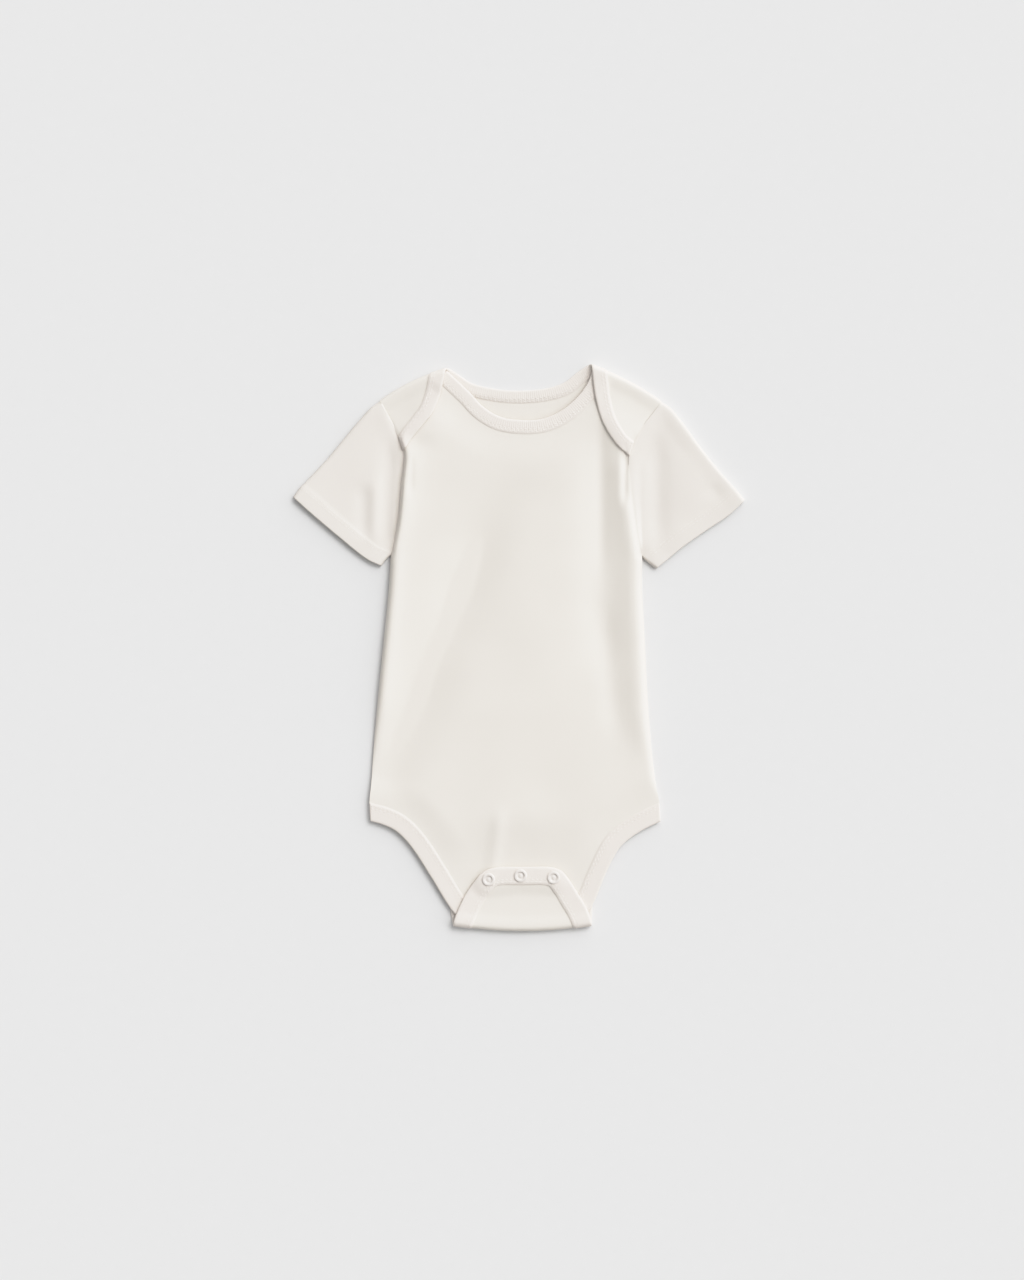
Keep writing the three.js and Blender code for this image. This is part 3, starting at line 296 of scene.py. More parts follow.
class CrotchFold:
    normal = np.array([0.0, -1.0])

    def place(self, p):
        line = CROTCH["y"] + CROTCH["rise"] * ((p[:, 0] - CROTCH["x"]) / CROTCH["half_width"]) ** 2
        radius = np.full(len(p), float(CROTCH["radius"]))
        return line + radius + SOLID_HALF - p[:, 1], radius


LEFT_FOLD = ShoulderFold(**FOLDS["left"])
RIGHT_FOLD = ShoulderFold(**FOLDS["right"])
CROTCH_FOLD = CrotchFold()


def unfold(fold, p):
    """Where a point of a folded-over layer is on the unfolded back."""
    p = np.asarray(p, float)
    beyond, radius = fold.place(p)
    return p + fold.normal * (math.pi * radius - 2 * beyond)[:, None]


def fold_over(fold, p):
    beyond, radius = fold.place(p)
    turn = np.clip(beyond / radius, 0, math.pi)
    inward = np.maximum(0, beyond - math.pi * radius)
    reach = radius * np.sin(turn) - inward
    plan = np.where((beyond > 0)[:, None], p + fold.normal * (reach - beyond)[:, None], p)
    return plan, turn, inward, radius, beyond > 0


def split_where(line, fold, level):
    """Cuts a line in two where its share of the fold's turn passes `level`, beyond its first step."""
    beyond, radius = fold.place(line)
    value = beyond / (math.pi * radius) - level
    for i in range(2, len(line)):
        if value[i - 1] * value[i] <= 0 and value[i - 1] != value[i]:
            cut = lerp(line[i - 1], line[i], value[i - 1] / (value[i - 1] - value[i]))
            return np.vstack([line[:i], cut]), np.vstack([cut, line[i:]])
    raise ValueError(f"a line never passes {level}")


FRONT_NECK_LINE = curve_through(FRONT_NECK)
FRONT_LEG_LINE = curve_through(FRONT_LEG)
SIDE_LEFT_LINE = curve_through(FRONT_LEG[:1] + SIDE_LEFT)
SIDE_RIGHT_LINE = curve_through(FRONT_LEG[-1:] + SIDE_RIGHT)
ARM_LEFT_LINE = curve_through(ARMHOLE_LEFT)
ARM_RIGHT_LINE = curve_through(ARMHOLE_RIGHT)
NEAR = {name: coarse(line) for name, line in dict(
    neck=FRONT_NECK_LINE, leg=FRONT_LEG_LINE, side_left=SIDE_LEFT_LINE, side_right=SIDE_RIGHT_LINE,
    arm_left=ARM_LEFT_LINE, arm_right=ARM_RIGHT_LINE,
    edge_left=np.vstack([SIDE_LEFT_LINE, ARM_LEFT_LINE[1:]]),
    edge_right=np.vstack([SIDE_RIGHT_LINE, ARM_RIGHT_LINE[1:]])).items()}


def fold_rise(folds, p):
    rise = np.zeros(len(p))
    for start, end, width, height in folds:
        away, share = nearest([start, end], p)
        fade = smooth(0, 0.3, share) * smooth(0, 0.3, 1 - share)
        rise += height * bell(away / width) * fade
    return rise


def waves(p):
    rise = np.zeros(len(p))
    for k, (length, turn, height) in enumerate(WAVES):
        across = p @ [math.cos(turn), math.sin(turn)]
        bend = 5 * np.sin(2 * math.pi * (p @ [-math.sin(turn), math.cos(turn)]) / (2.3 * length) + k)
        rise += height * np.sin(2 * math.pi * (across + bend) / length + 1.7 * k)
    return rise


def front_height(p):
    z = FRONT_MID + fold_rise(FRONT_FOLDS, p) + waves(p)
    z = lerp(LEG_RIM, z, smooth(LEG_RIB, LEG_RIB + LEG_BLEND, nearest(NEAR["leg"], p)[0]))
    away, share = nearest(NEAR["neck"], p)
    rim = lerp(NECK_RIM, SHOULDER_NECK_RIM, smooth(0.4, 0.8, abs(2 * share - 1)))
    z = lerp(rim, z, smooth(NECK_RIB, NECK_RIB + NECK_BLEND, away))
    z = lerp(SNAP_RIM, z, smooth(*SNAP_BLEND, nearest(SNAPS, p)[0])) + fold_rise(FOLDS_AT_SNAPS, p)
    for fold in (LEFT_FOLD, RIGHT_FOLD):
        away, share = nearest(fold.line, p)
        rim = lerp(SHOULDER_TIP_RIM, SHOULDER_NECK_RIM, smooth(0.2, 0.75, share))
        z = lerp(rim, z, smooth(*FOLD_BLEND, away))
    for side, (height, inset, reach) in EDGE_RIDGES.items():
        away = nearest(NEAR["edge_" + side], p)[0]
        ends = smooth(*RIDGE_ENDS[side], p[:, 1]) * (1 - smooth(*RIDGE_TOP, p[:, 1]))
        z += height / (1 + ((away - inset) / reach) ** 2) * ends
    on_lap = smooth(*LAP_FROM, p[:, 1])
    for side in ("left", "right"):
        away = nearest(NEAR["arm_" + side], p)[0]
        rim = lerp(ARM_RIM[side], LAP_ARM_RIM[side], on_lap)
        reach = lerp(ARM_RISE[side], LAP_ARM_RISE[side], on_lap)
        z = lerp(np.minimum(z, rim), z, smooth(0, reach, away))
        z -= SEAM_DIP[side] * bell(away / SEAM_WIDTH)
        inward = 1 - np.clip(nearest(NEAR["side_" + side], p)[0] / SIDE_ROLL, 0, 1)
        rim = lerp(SIDE_RIM[side], LEG_RIM, smooth(*SIDE_TO_LEG, p[:, 1]))
        z = lerp(rim, z, np.sqrt(1 - inward**2))
    return np.maximum(z, FRONT_LOWEST)


def lap_height(p):
    on_rib = 1 - smooth(NECK_RIB, NECK_RIB + LAP_RIB_BLEND, nearest(NEAR["neck"], p)[0])
    return front_height(p) + lerp(LAP_LIFT, LAP_LIFT_ON_RIB, on_rib)


def flap_height(p):
    lifted = front_height(p) + FLAP_LIFT
    return lerp(FLAP_AT_SNAPS, lifted, smooth(*FLAP_SNAP_BLEND, nearest(SNAPS, p)[0]))


LAYERS = [
    (LEFT_FOLD, lap_height, lambda p: (p[:, 0] < -20) & (p[:, 1] > 100)),
    (RIGHT_FOLD, lap_height, lambda p: (p[:, 0] > 20) & (p[:, 1] > 100)),
    (CROTCH_FOLD, flap_height, lambda p: p[:, 1] < -150),
]


def back_surface(p):
    """The back's mid-surface in space, and how much of a fold's turn is done there."""
    side = np.minimum(nearest(NEAR["side_left"], p)[0], nearest(NEAR["side_right"], p)[0])
    curl = BACK_RIM_LIFT * (1 - smooth(0, BACK_CURL, side)) * smooth(*CURL_FROM, p[:, 1])
    out = np.column_stack([p, BACK_MID + curl])
    turned = np.zeros(len(p))
    for fold, height, holds in LAYERS:
        chosen = np.flatnonzero(holds(p))
        plan, turn, inward, radius, over = fold_over(fold, p[chosen])
        chosen, plan, turn = chosen[over], plan[over], turn[over]
        inward, radius = inward[over], radius[over]
        roll = BACK_MID + radius * (1 - np.cos(turn))
        rest = np.where(inward > 0, height(plan), roll)
        out[chosen, :2] = plan
        out[chosen, 2] = lerp(roll, rest, smooth(0, RAMP_FROM_FOLD, inward))
        turned[chosen] = turn / math.pi
    return out, turned


def front_surface(p):
    return np.column_stack([p, front_height(p)]), np.zeros(len(p))


NORMAL_STEP = 0.05


def normals_of(surface, p):
    dx, dy = np.array([NORMAL_STEP, 0]), np.array([0, NORMAL_STEP])
    across_x = surface(p + dx)[0] - surface(p - dx)[0]
    across_y = surface(p + dy)[0] - surface(p - dy)[0]
    return unit(np.cross(across_x, across_y))


# Meshes
def add_object(name, data):
    obj = bpy.data.objects.new(name, data)
    scene.collection.objects.link(obj)
    return obj


def make_object(name, verts, faces, uv=None, sharp=()):
    mesh = bpy.data.meshes.new(name)
    placed = np.asarray(verts, float).copy()
    placed[:, :2] += FOOTPRINT_SHIFT
    mesh.from_pydata((placed * MM).tolist(), [], faces)
    mesh.update()
    mesh.polygons.foreach_set("use_smooth", np.ones(len(mesh.polygons), bool))
    if uv is not None:
        layer = mesh.uv_layers.new(name="cut")
        corner = np.empty(len(mesh.loops), int)
        mesh.loops.foreach_get("vertex_index", corner)
        layer.data.foreach_set("uv", (uv[corner] * 0.01).ravel())
    if len(sharp):
        marked = mesh.attributes.new("sharp_edge", "BOOLEAN", "EDGE")
        ends = np.empty(len(mesh.edges) * 2, int)
        mesh.edges.foreach_get("vertices", ends)
        wanted = {tuple(sorted(e)) for e in sharp}
        flags = [tuple(sorted(e)) in wanted for e in ends.reshape(-1, 2).tolist()]
        marked.data.foreach_set("value", flags)
    return add_object(name, mesh)


def four_sided(ids):
    """The four-sided faces of a net of vertex numbers."""
    return np.stack([ids[:-1, :-1], ids[:-1, 1:], ids[1:, 1:], ids[1:, :-1]], axis=-1).reshape(-1, 4)


def closed_round(ids):
    return np.hstack([ids, ids[:, :1]])


POINTS_PER_MM = 500  # points that round to the same place become one


class Sheet:
    """A flat net of points with four-sided faces, from grids that share their edges."""

    def __init__(self):
        self.points, self.faces, self.count = [], [], 0

    def grid(self, net):
        rows, columns = net.shape[:2]
        ids = self.count + np.arange(rows * columns).reshape(rows, columns)
        self.points.append(net.reshape(-1, 2))
        self.faces.append(four_sided(ids))
        self.count += rows * columns
        return self

    def joined(self):
        points = np.vstack(self.points)
        keys = np.round(points * POINTS_PER_MM).astype(np.int64)
        _, first, to = np.unique(keys, axis=0, return_index=True, return_inverse=True)
        to = to.reshape(-1)
        faces = []
        for face in to[np.vstack(self.faces)].tolist():
            kept = [v for k, v in enumerate(face) if v != face[k - 1]]
            if len(set(kept)) == len(kept) and len(kept) > 2:
                faces.append(kept)
        return points[first], faces

    def made(self, name, surface):
        """The cloth as an object, its flat area and its flat width and length."""
        points, faces = self.joined()
        cloth = solidify(name, surface(points)[0], faces, points)
        return cloth, flat_area(points, faces), tuple(float(v) * MM for v in np.ptp(points, axis=0))


def flat_area(points, faces):
    total = 0.0
    for face in faces:
        x, y = points[face, 0], points[face, 1]
        total += 0.5 * abs(np.dot(x, np.roll(y, -1)) - np.dot(y, np.roll(x, -1)))
    return total * MM * MM


def vertex_normals(verts, faces):
    normals = np.zeros_like(verts)
    for size in (3, 4):
        group = np.array([f for f in faces if len(f) == size], int).reshape(-1, size)
        diagonal = verts[group[:, 2]] - verts[group[:, 0]]
        n = np.cross(diagonal, verts[group[:, -1]] - verts[group[:, 1]])
        for k in range(size):
            np.add.at(normals, group[:, k], n)
    return unit(normals)


def solidify(name, verts, faces, uv):
    """An upper and a lower skin with a wall along the open edges."""
    count = len(verts)
    offset = vertex_normals(verts, faces) * CLOTH_HALF
    skins = np.vstack([verts + offset, verts - offset])
    every = [list(f) for f in faces] + [[v + count for v in reversed(f)] for f in faces]
    open_edges = {}
    for face in faces:
        for a, b in zip(face, face[1:] + face[:1]):
            if open_edges.pop((b, a), None) is None:
                open_edges[(a, b)] = True
    sharp = []
    for a, b in open_edges:
        every.append([a, a + count, b + count, b])
        sharp += [(a, b), (a + count, b + count)]
    return make_object(name, skins, every, np.vstack([uv, uv]), sharp)


def coons(bottom, top, left, right, fade=1):
    """A net between four edges. The higher `fade`, the sooner the shapes of its sides fade out."""
    us = lengths(bottom) / lengths(bottom)[-1]
    vs = lengths(left) / lengths(left)[-1]
    u, v = us[None, :, None], vs[:, None, None]
    net = lerp(bottom[None], top[None], v)
    net = net + (1 - u) ** fade * (left[:, None] - lerp(bottom[0], top[0], v))
    net = net + u**fade * (right[:, None] - lerp(bottom[-1], top[-1], v))
    net[0], net[-1], net[:, 0], net[:, -1] = bottom, top, left, right
    return net


# Bindings as lines: the outer edge, and the vector from it to the seam
def band(outer, width, side, start_along, end_along):
    along = lengths(outer)
    ahead = unit(np.vstack([outer[1:2] - outer[:1], outer[2:] - outer[:-2], outer[-1:] - outer[-2:-1]]))
    square = np.column_stack([-ahead[:, 1], ahead[:, 0]]) * side
    first_half = (along < along[-1] / 2)[:, None]
    direction = np.where(first_half, start_along, end_along)
    slanted = direction * (width / np.maximum(0.35, (direction * square).sum(axis=1)))[:, None]
    from_end = np.minimum(along, along[-1] - along)
    return outer, lerp(slanted, square * width, smooth(0, 1.6 * width, from_end)[:, None])


def seam_of(stations, width, gap):
    """The line along a binding's seam, without the points where it would turn back on itself."""
    outer, across = stations
    line = outer + across * (1 + gap / width)
    ahead = np.gradient(outer, axis=0)
    kept = [line[0]]
    for p, direction in zip(line[1:], ahead[1:]):
        if np.dot(p - kept[-1], direction) > 0.02:
            kept.append(p)
    while np.dot(line[-1] - kept[-1], ahead[-1]) < 0.02 and len(kept) > 2:
        kept.pop()
    return np.array(kept + [line[-1]])


def along_fold(fold, start, end, shares, turn):
    p = lerp(start, end, np.asarray(shares)[:, None])
    beyond, radius = fold.place(p)
    p = p + fold.normal * (turn * math.pi * radius - beyond)[:, None]
    p[0], p[-1] = start, end
    return p


UP_LEFT = unit(SIDE_LEFT_LINE[12] - SIDE_LEFT_LINE[0])
UP_RIGHT = unit(SIDE_RIGHT_LINE[12] - SIDE_RIGHT_LINE[0])
arm_up_left = split_where(ARM_LEFT_LINE, LEFT_FOLD, 0)[0]
arm_up_right = split_where(ARM_RIGHT_LINE, RIGHT_FOLD, 0)[0]
front_arm_left = split_where(ARM_LEFT_LINE, LEFT_FOLD, INSIDE_FOLD)[0]
front_arm_right = split_where(ARM_RIGHT_LINE, RIGHT_FOLD, INSIDE_FOLD)[0]


def cut_front_neck():
    line = curve_through(FRONT_NECK, 0.5)
    line = split_where(line, LEFT_FOLD, BINDING_IN_FOLD)[1]
    return split_where(line, RIGHT_FOLD, BINDING_IN_FOLD)[0]


def up_lap(fold, armhole, corner):
    after = armhole[np.argmax(armhole[:, 1] > corner[1] + NECK_RIB)]
    return unit(unfold(fold, [after])[0] - unfold(fold, [corner])[0])


back_neck_outer = curve_through(np.vstack([
    unfold(LEFT_FOLD, LAP_LEFT[::-1]), BACK_NECK, unfold(RIGHT_FOLD, LAP_RIGHT)]), 0.5)
back_leg_outer = curve_through(np.vstack([
    BACK_LEG_LEFT, unfold(CROTCH_FOLD, FLAP), BACK_LEG_RIGHT]), 0.5)
BANDS = {
    "front_neck": band(cut_front_neck(), NECK_RIB, -1, -LEFT_FOLD.along, -RIGHT_FOLD.along),
    "front_leg": band(curve_through(FRONT_LEG, 0.5), LEG_RIB, 1, UP_LEFT, UP_RIGHT),
    "back_neck": band(back_neck_outer, NECK_RIB, -1, up_lap(LEFT_FOLD, arm_up_left, LAP_LEFT[-1]),
                      up_lap(RIGHT_FOLD, arm_up_right, LAP_RIGHT[-1])),
    "back_leg": band(back_leg_outer, LEG_RIB, 1, UP_LEFT, UP_RIGHT),
}


def edge_shares(count, edge=0.05, extra=6):
    """Shares that crowd towards both ends, for edges that roll over."""
    near = edge * (np.arange(extra) / extra) ** 1.7
    return np.concatenate([near, np.linspace(edge, 1 - edge, count), 1 - near[::-1]])


def front_panel():
    bottom = seam_of(BANDS["front_leg"], LEG_RIB, TUCK)
    neck = seam_of(BANDS["front_neck"], NECK_RIB, TUCK)
    columns = edge_shares(100)
    rows = edge_shares(140, 0.03)

    def edge(start, side, armhole):
        return sample(np.vstack([start, side[side[:, 1] > start[1] + 1], armhole[1:]]), rows)

    top = np.vstack([front_arm_left[-1:], neck, front_arm_right[-1:]])
    left = edge(bottom[0], SIDE_LEFT_LINE, front_arm_left)
    right = edge(bottom[-1], SIDE_RIGHT_LINE, front_arm_right)
    sheet = Sheet().grid(coons(sample(bottom, columns), sample(top, columns), left, right, fade=6))
    return sheet.made("front_panel_cloth", front_surface)


FLAP_SIDE = 0.34  # each side's share of the flap's seam


def back_panel():
    neck = seam_of(BANDS["back_neck"], NECK_RIB, TUCK)
    leg = seam_of(BANDS["back_leg"], LEG_RIB, TUCK)
    lap_seam_left, rest = split_where(neck, LEFT_FOLD, 1)
    roll_seam_left, rest = split_where(rest, LEFT_FOLD, 0)
    neck_seam, rest = split_where(rest, RIGHT_FOLD, 0)
    roll_seam_right, lap_seam_right = split_where(rest, RIGHT_FOLD, 1)
    leg_left, rest = split_where(leg, CROTCH_FOLD, 0)
    crotch_left, rest = split_where(rest, CROTCH_FOLD, 1)
    flap_edge, rest = split_where(rest, CROTCH_FOLD, 1)
    crotch_right, leg_right = split_where(rest, CROTCH_FOLD, 0)

    # Body
    shares = np.concatenate([[0, 0.012, 0.03, 0.06, 0.1], np.linspace(0.15, 1, 16)])
    turned_shares = 1 - shares[::-1]
    shoulder_left = along_fold(LEFT_FOLD, arm_up_left[-1], neck_seam[0], shares, 0)
    shoulder_right = along_fold(RIGHT_FOLD, neck_seam[-1], arm_up_right[-1], turned_shares, 0)
    top = np.vstack([shoulder_left, sample(neck_seam, np.linspace(0, 1, 50))[1:-1], shoulder_right])
    columns = lengths(top) / lengths(top)[-1]
    crotch = along_fold(CROTCH_FOLD, crotch_left[0], crotch_right[-1], columns, 0)

    def edge(leg_side, side, armhole):
        up = np.vstack([leg_side[-1], side[side[:, 1] > leg_side[-1, 1] + 1]])
        leg_part, up_part, arm_part = (
            sample(line, np.linspace(0, 1, n)) for line, n in ((leg_side, 50), (up, 60), (armhole, 50)))
        return np.vstack([leg_part, up_part[1:], arm_part[1:]])

    sheet = Sheet().grid(coons(crotch, top, edge(leg_left[::-1], SIDE_LEFT_LINE, arm_up_left),
                               edge(leg_right, SIDE_RIGHT_LINE, arm_up_right)))

    # Shoulder laps
    roll = np.linspace(0, 1, 15)
    lap_rows = np.linspace(0, 1, 26)

    def add_lap(fold, shoulder, armhole, corner, roll_seam, lap_seam, on_left):
        def left_to_right(at_armhole, at_neck):
            return (at_armhole, at_neck) if on_left else (at_neck, at_armhole)

        down = armhole[::-1]
        down = unfold(fold, down[down[:, 1] > corner[1] + 1 + NECK_RIB])
        arm_end = shoulder[0] if on_left else shoulder[-1]
        arm_roll = sample(np.vstack([arm_end, down[0]]), roll)
        arm_lap = sample(np.vstack([down, lap_seam[-1:]]), lap_rows)
        ends = left_to_right(down[0], lap_seam[0])
        over = along_fold(fold, *ends, shares if on_left else turned_shares, 1)
        tip = np.repeat(lap_seam[-1:], len(over), axis=0)
        sheet.grid(coons(shoulder, over, *left_to_right(arm_roll, sample(roll_seam, roll))))
        sheet.grid(coons(over, tip, *left_to_right(arm_lap, sample(lap_seam, lap_rows))))

    add_lap(LEFT_FOLD, shoulder_left, arm_up_left, LAP_LEFT[-1], roll_seam_left[::-1],
            lap_seam_left[::-1], True)
    add_lap(RIGHT_FOLD, shoulder_right, arm_up_right, LAP_RIGHT[-1], roll_seam_right, lap_seam_right, False)

    # Crotch flap
    over = along_fold(CROTCH_FOLD, crotch_left[-1], crotch_right[0], columns, 1)
    sheet.grid(coons(crotch, over, sample(crotch_left, roll), sample(crotch_right[::-1], roll))[::-1])
    flap_rows = np.linspace(0, FLAP_SIDE, 22)
    flap_top = sample(flap_edge, np.linspace(FLAP_SIDE, 1 - FLAP_SIDE, len(columns)))
    sides = sample(flap_edge, flap_rows), sample(flap_edge, 1 - flap_rows)
    sheet.grid(coons(over, flap_top, *sides)[::-1])
    return sheet.made("back_panel_cloth", back_surface)


# Bindings: a folded strip, closed into a rounded tube, from its seam over the fold and back
def rib_half(from_seam, drop):
    """Half of a binding's thickness, which `drop` thins out towards the seam."""
    away = np.maximum(from_seam, 0)
    return RIB_HALF - RIB_PINCH * bell(away / RIB_PINCH_REACH) - drop * bell(away / DROP_REACH)


def rib_section(width, grooves, drop):
    """Shares of the width, heights, and outward directions of the points round a binding."""
    near = np.array([0, 0.004, 0.016, 0.036, 0.065, 0.1, 0.15])
    shares = np.concatenate([near, np.linspace(0.2, 0.93, 17), [0.965, 0.985, 1.0, 1 + INTO_SEAM / width]])
    edge = rounded_off(shares * width / RIB_EDGE)
    from_seam = (1 - shares) * width
    half = edge * rib_half(from_seam, 0)
    top = edge * rib_half(from_seam, drop)
    for place in grooves:
        top -= GROOVE * bell((from_seam - place) / RIB_GROOVE_REACH)
    s = np.concatenate([shares[::-1], shares[1:]])
    h = np.concatenate([top[::-1], -half[1:]])
    ahead = unit(np.column_stack([np.gradient(s * width), np.gradient(h)]))
    return s, h, np.column_stack([ahead[:, 1], -ahead[:, 0]])


def stations_at(stations, spacing):
    outer, across = stations
    along = lengths(outer)
    goal = np.linspace(0, along[-1], round(along[-1] / spacing) + 1)
    return at_lengths(goal, along, outer), at_lengths(goal, along, across), goal


def along_rows(values, old, new):
    """Values at old stations, a row for each, moved to new stations."""
    right = np.clip(np.searchsorted(old, new), 1, len(old) - 1)
    t = ((new - old[right - 1]) / (old[right] - old[right - 1]))[:, None, None]
    return lerp(values[right - 1], values[right], t)


def rib_shift(turned, is_back):
    """How far a binding's middle is off the cloth's, which changes where the back turns over."""
    if not is_back:
        return np.zeros(len(turned))
    return lerp(BACK_RIB_SHIFT, TOP_RIB_SHIFT, smooth(0.1, 0.9, turned))


def rounded_off(share):
    """A quarter circle's height, from 0 where `share` is 0 to 1 where it is 1."""
    return np.sqrt(1 - (1 - np.clip(share, 0, 1)) ** 2)


def binding(name, stations, width, surface, is_back, drop, pitch, depth, spacing):
    outer, across, goal = stations_at(stations, 0.45)
    s, h, out = rib_section(width, TWO_ROWS, drop)
    shares = np.unique(s)
    flat = outer[:, None] + across[:, None] * shares[None, :, None]
    points = flat.reshape(-1, 2)
    base, turned = surface(points)
    normal = normals_of(surface, points)
    base = (base + normal * rib_shift(turned, is_back)[:, None]).reshape(len(outer), len(shares), 3)
    normal = normal.reshape(base.shape)
    fine = np.linspace(0, goal[-1], round(goal[-1] / spacing) + 1)
    base, normal = along_rows(base, goal, fine), along_rows(normal, goal, fine)
    inward = unit(np.gradient(base, axis=1))
    column = np.searchsorted(shares, s)
    base, normal, inward = base[:, column], normal[:, column], inward[:, column]
    end_thin = rounded_off(np.minimum(fine, fine[-1] - fine) / RIB_END)
    h = h[None] * lerp(0.35, 1, end_thin[:, None])
    fade = smooth(0.35, 1.6, (1 - s) * width)
    on_lap = smooth(0.3, 0.9, np.interp(fine, goal, turned.reshape(len(outer), -1)[:, -1]))
    rib = -depth * lerp(1, LAP_RIB, on_lap) * (0.5 + 0.5 * np.cos(2 * np.pi * fine / pitch))
    rib = rib[:, None] * fade[None]
    verts = base + normal * (h + rib * out[:, 1])[..., None] + inward * (rib * out[:, 0])[..., None]
    rows, count = verts.shape[:2]
    ids = np.arange(rows * count).reshape(rows, count)
    faces = four_sided(closed_round(ids))
    last = count - 1
    caps = [[k, k + 1, last - k - 1, last - k] for k in range(count // 2)]
    caps = [[v for i, v in enumerate(c) if v != c[i - 1]] for c in caps]
    faces = faces.tolist() + [c[::-1] for c in caps] + [[v + ids[-1, 0] for v in c] for c in caps]
    round_it = lengths(np.column_stack([s * width, h[len(h) // 2]]))
    uv = np.stack(np.broadcast_arrays(fine[:, None], round_it[None]), axis=-1).reshape(-1, 2)
    # The tube faces outward whichever way round its stations run
    if np.cross(across[0], outer[1] - outer[0]) < 0:
        faces = [f[::-1] for f in faces]
    return make_object(name, verts.reshape(-1, 3), faces, uv), goal[-1]


# Sleeves
def sleeve_net(edges, armhole, corner, folds):
    outward = edges["outward"]
    dense = np.linspace(0, 1, 120)
    side = "left" if outward < 0 else "right"
    seam = sample(armhole[::-1], dense) - [outward * SLEEVE_SHAPE["tuck"], 0]
    hem = sample(curve_through(edges["hem"]), dense)
    length = lengths(sample(curve_through(edges["outer"]), dense))[-1]
    end = 1 - np.array([2.2, 1.3, 0.8, 0.45, 0.2, 0.05, 0]) / length
    stations = np.concatenate([[0, 0.01, 0.02], np.linspace(0.04, 0.97, 46), end])
    outer_edge = sample(curve_through(np.vstack([seam[:1], edges["outer"][1:]])), stations)
    under_edge = sample(curve_through(np.vstack([seam[-1:], edges["under"]])), stations)
    lines = coons(seam, hem, outer_edge, under_edge)
    corner_share = 1 - nearest(armhole, [corner])[1][0]
    shares = np.linspace(0, 1, 62)[1:-1]
    turn = (np.linspace(0, 1, 10) - 0.5) * math.pi
    rings = []
    for s, line in zip(stations, lines):
        total = lengths(line)[-1]
        outer_radius = lerp(SLEEVE_SHAPE["at_shoulder"], SLEEVE_SHAPE["at_hem"], smooth(0, 0.6, s))
        under_radius = lerp(SLEEVE_SHAPE["at_underarm"], SLEEVE_SHAPE["at_hem"], smooth(0, 1, s))

        def at(d):
            return sample(line, np.clip(np.asarray(d) / total, 0, 1))

        def rolled(radius, angle, from_end):
            inset = radius + SOLID_HALF - radius * np.cos(angle)
            d = total - inset if from_end else inset
            return np.column_stack([at(d), BACK_MID + radius + radius * np.sin(angle)])

        first, last = outer_radius + SOLID_HALF, total - under_radius - SOLID_HALF
        plan = at(lerp(first, last, shares))
        rim = BACK_MID + 2 * lerp(outer_radius, under_radius, smooth(0.3, 0.7, shares))
        in_from_edge = np.minimum(shares, 1 - shares) * (last - first)
        lap = LAP_ARM_RIM[side] + LAP_LIFT
        on_lap = lerp(BACK_MID + 2 * SLEEVE_SHAPE["at_shoulder"], lap, smooth(0, 0.3, shares))
        on_panel = lerp(on_lap, SLEEVE_RIM[side], smooth(corner_share - 0.02, corner_share + 0.1, shares))
        own = SLEEVE_MIDDLE[side] + fold_rise(folds, plan) + waves(plan)
        from_seam = s * length
        dip = SEAM_DIP[side] * (1 + from_seam / 9) * bell(from_seam / 1.6)
        height = lerp(on_panel, own, smooth(0, 0.16, s)) - dip
        top = np.column_stack([plan, lerp(rim, height, smooth(0, 12, in_from_edge))])
        under = np.column_stack([plan, np.full(len(plan), BACK_MID)])[::-1]
        outer_roll, under_roll = rolled(outer_radius, turn, False), rolled(under_radius, turn[::-1], True)
        rings.append(np.vstack([outer_roll, top, under_roll, under]))
    return np.array(rings), len(turn), len(shares), hem


def lengths_along(net, axis):
    """How far each point of a net is from the net's first row or column."""
    steps = np.linalg.norm(np.diff(net, axis=axis), axis=2)
    return np.insert(np.cumsum(steps, axis=axis), 0, 0, axis=axis)


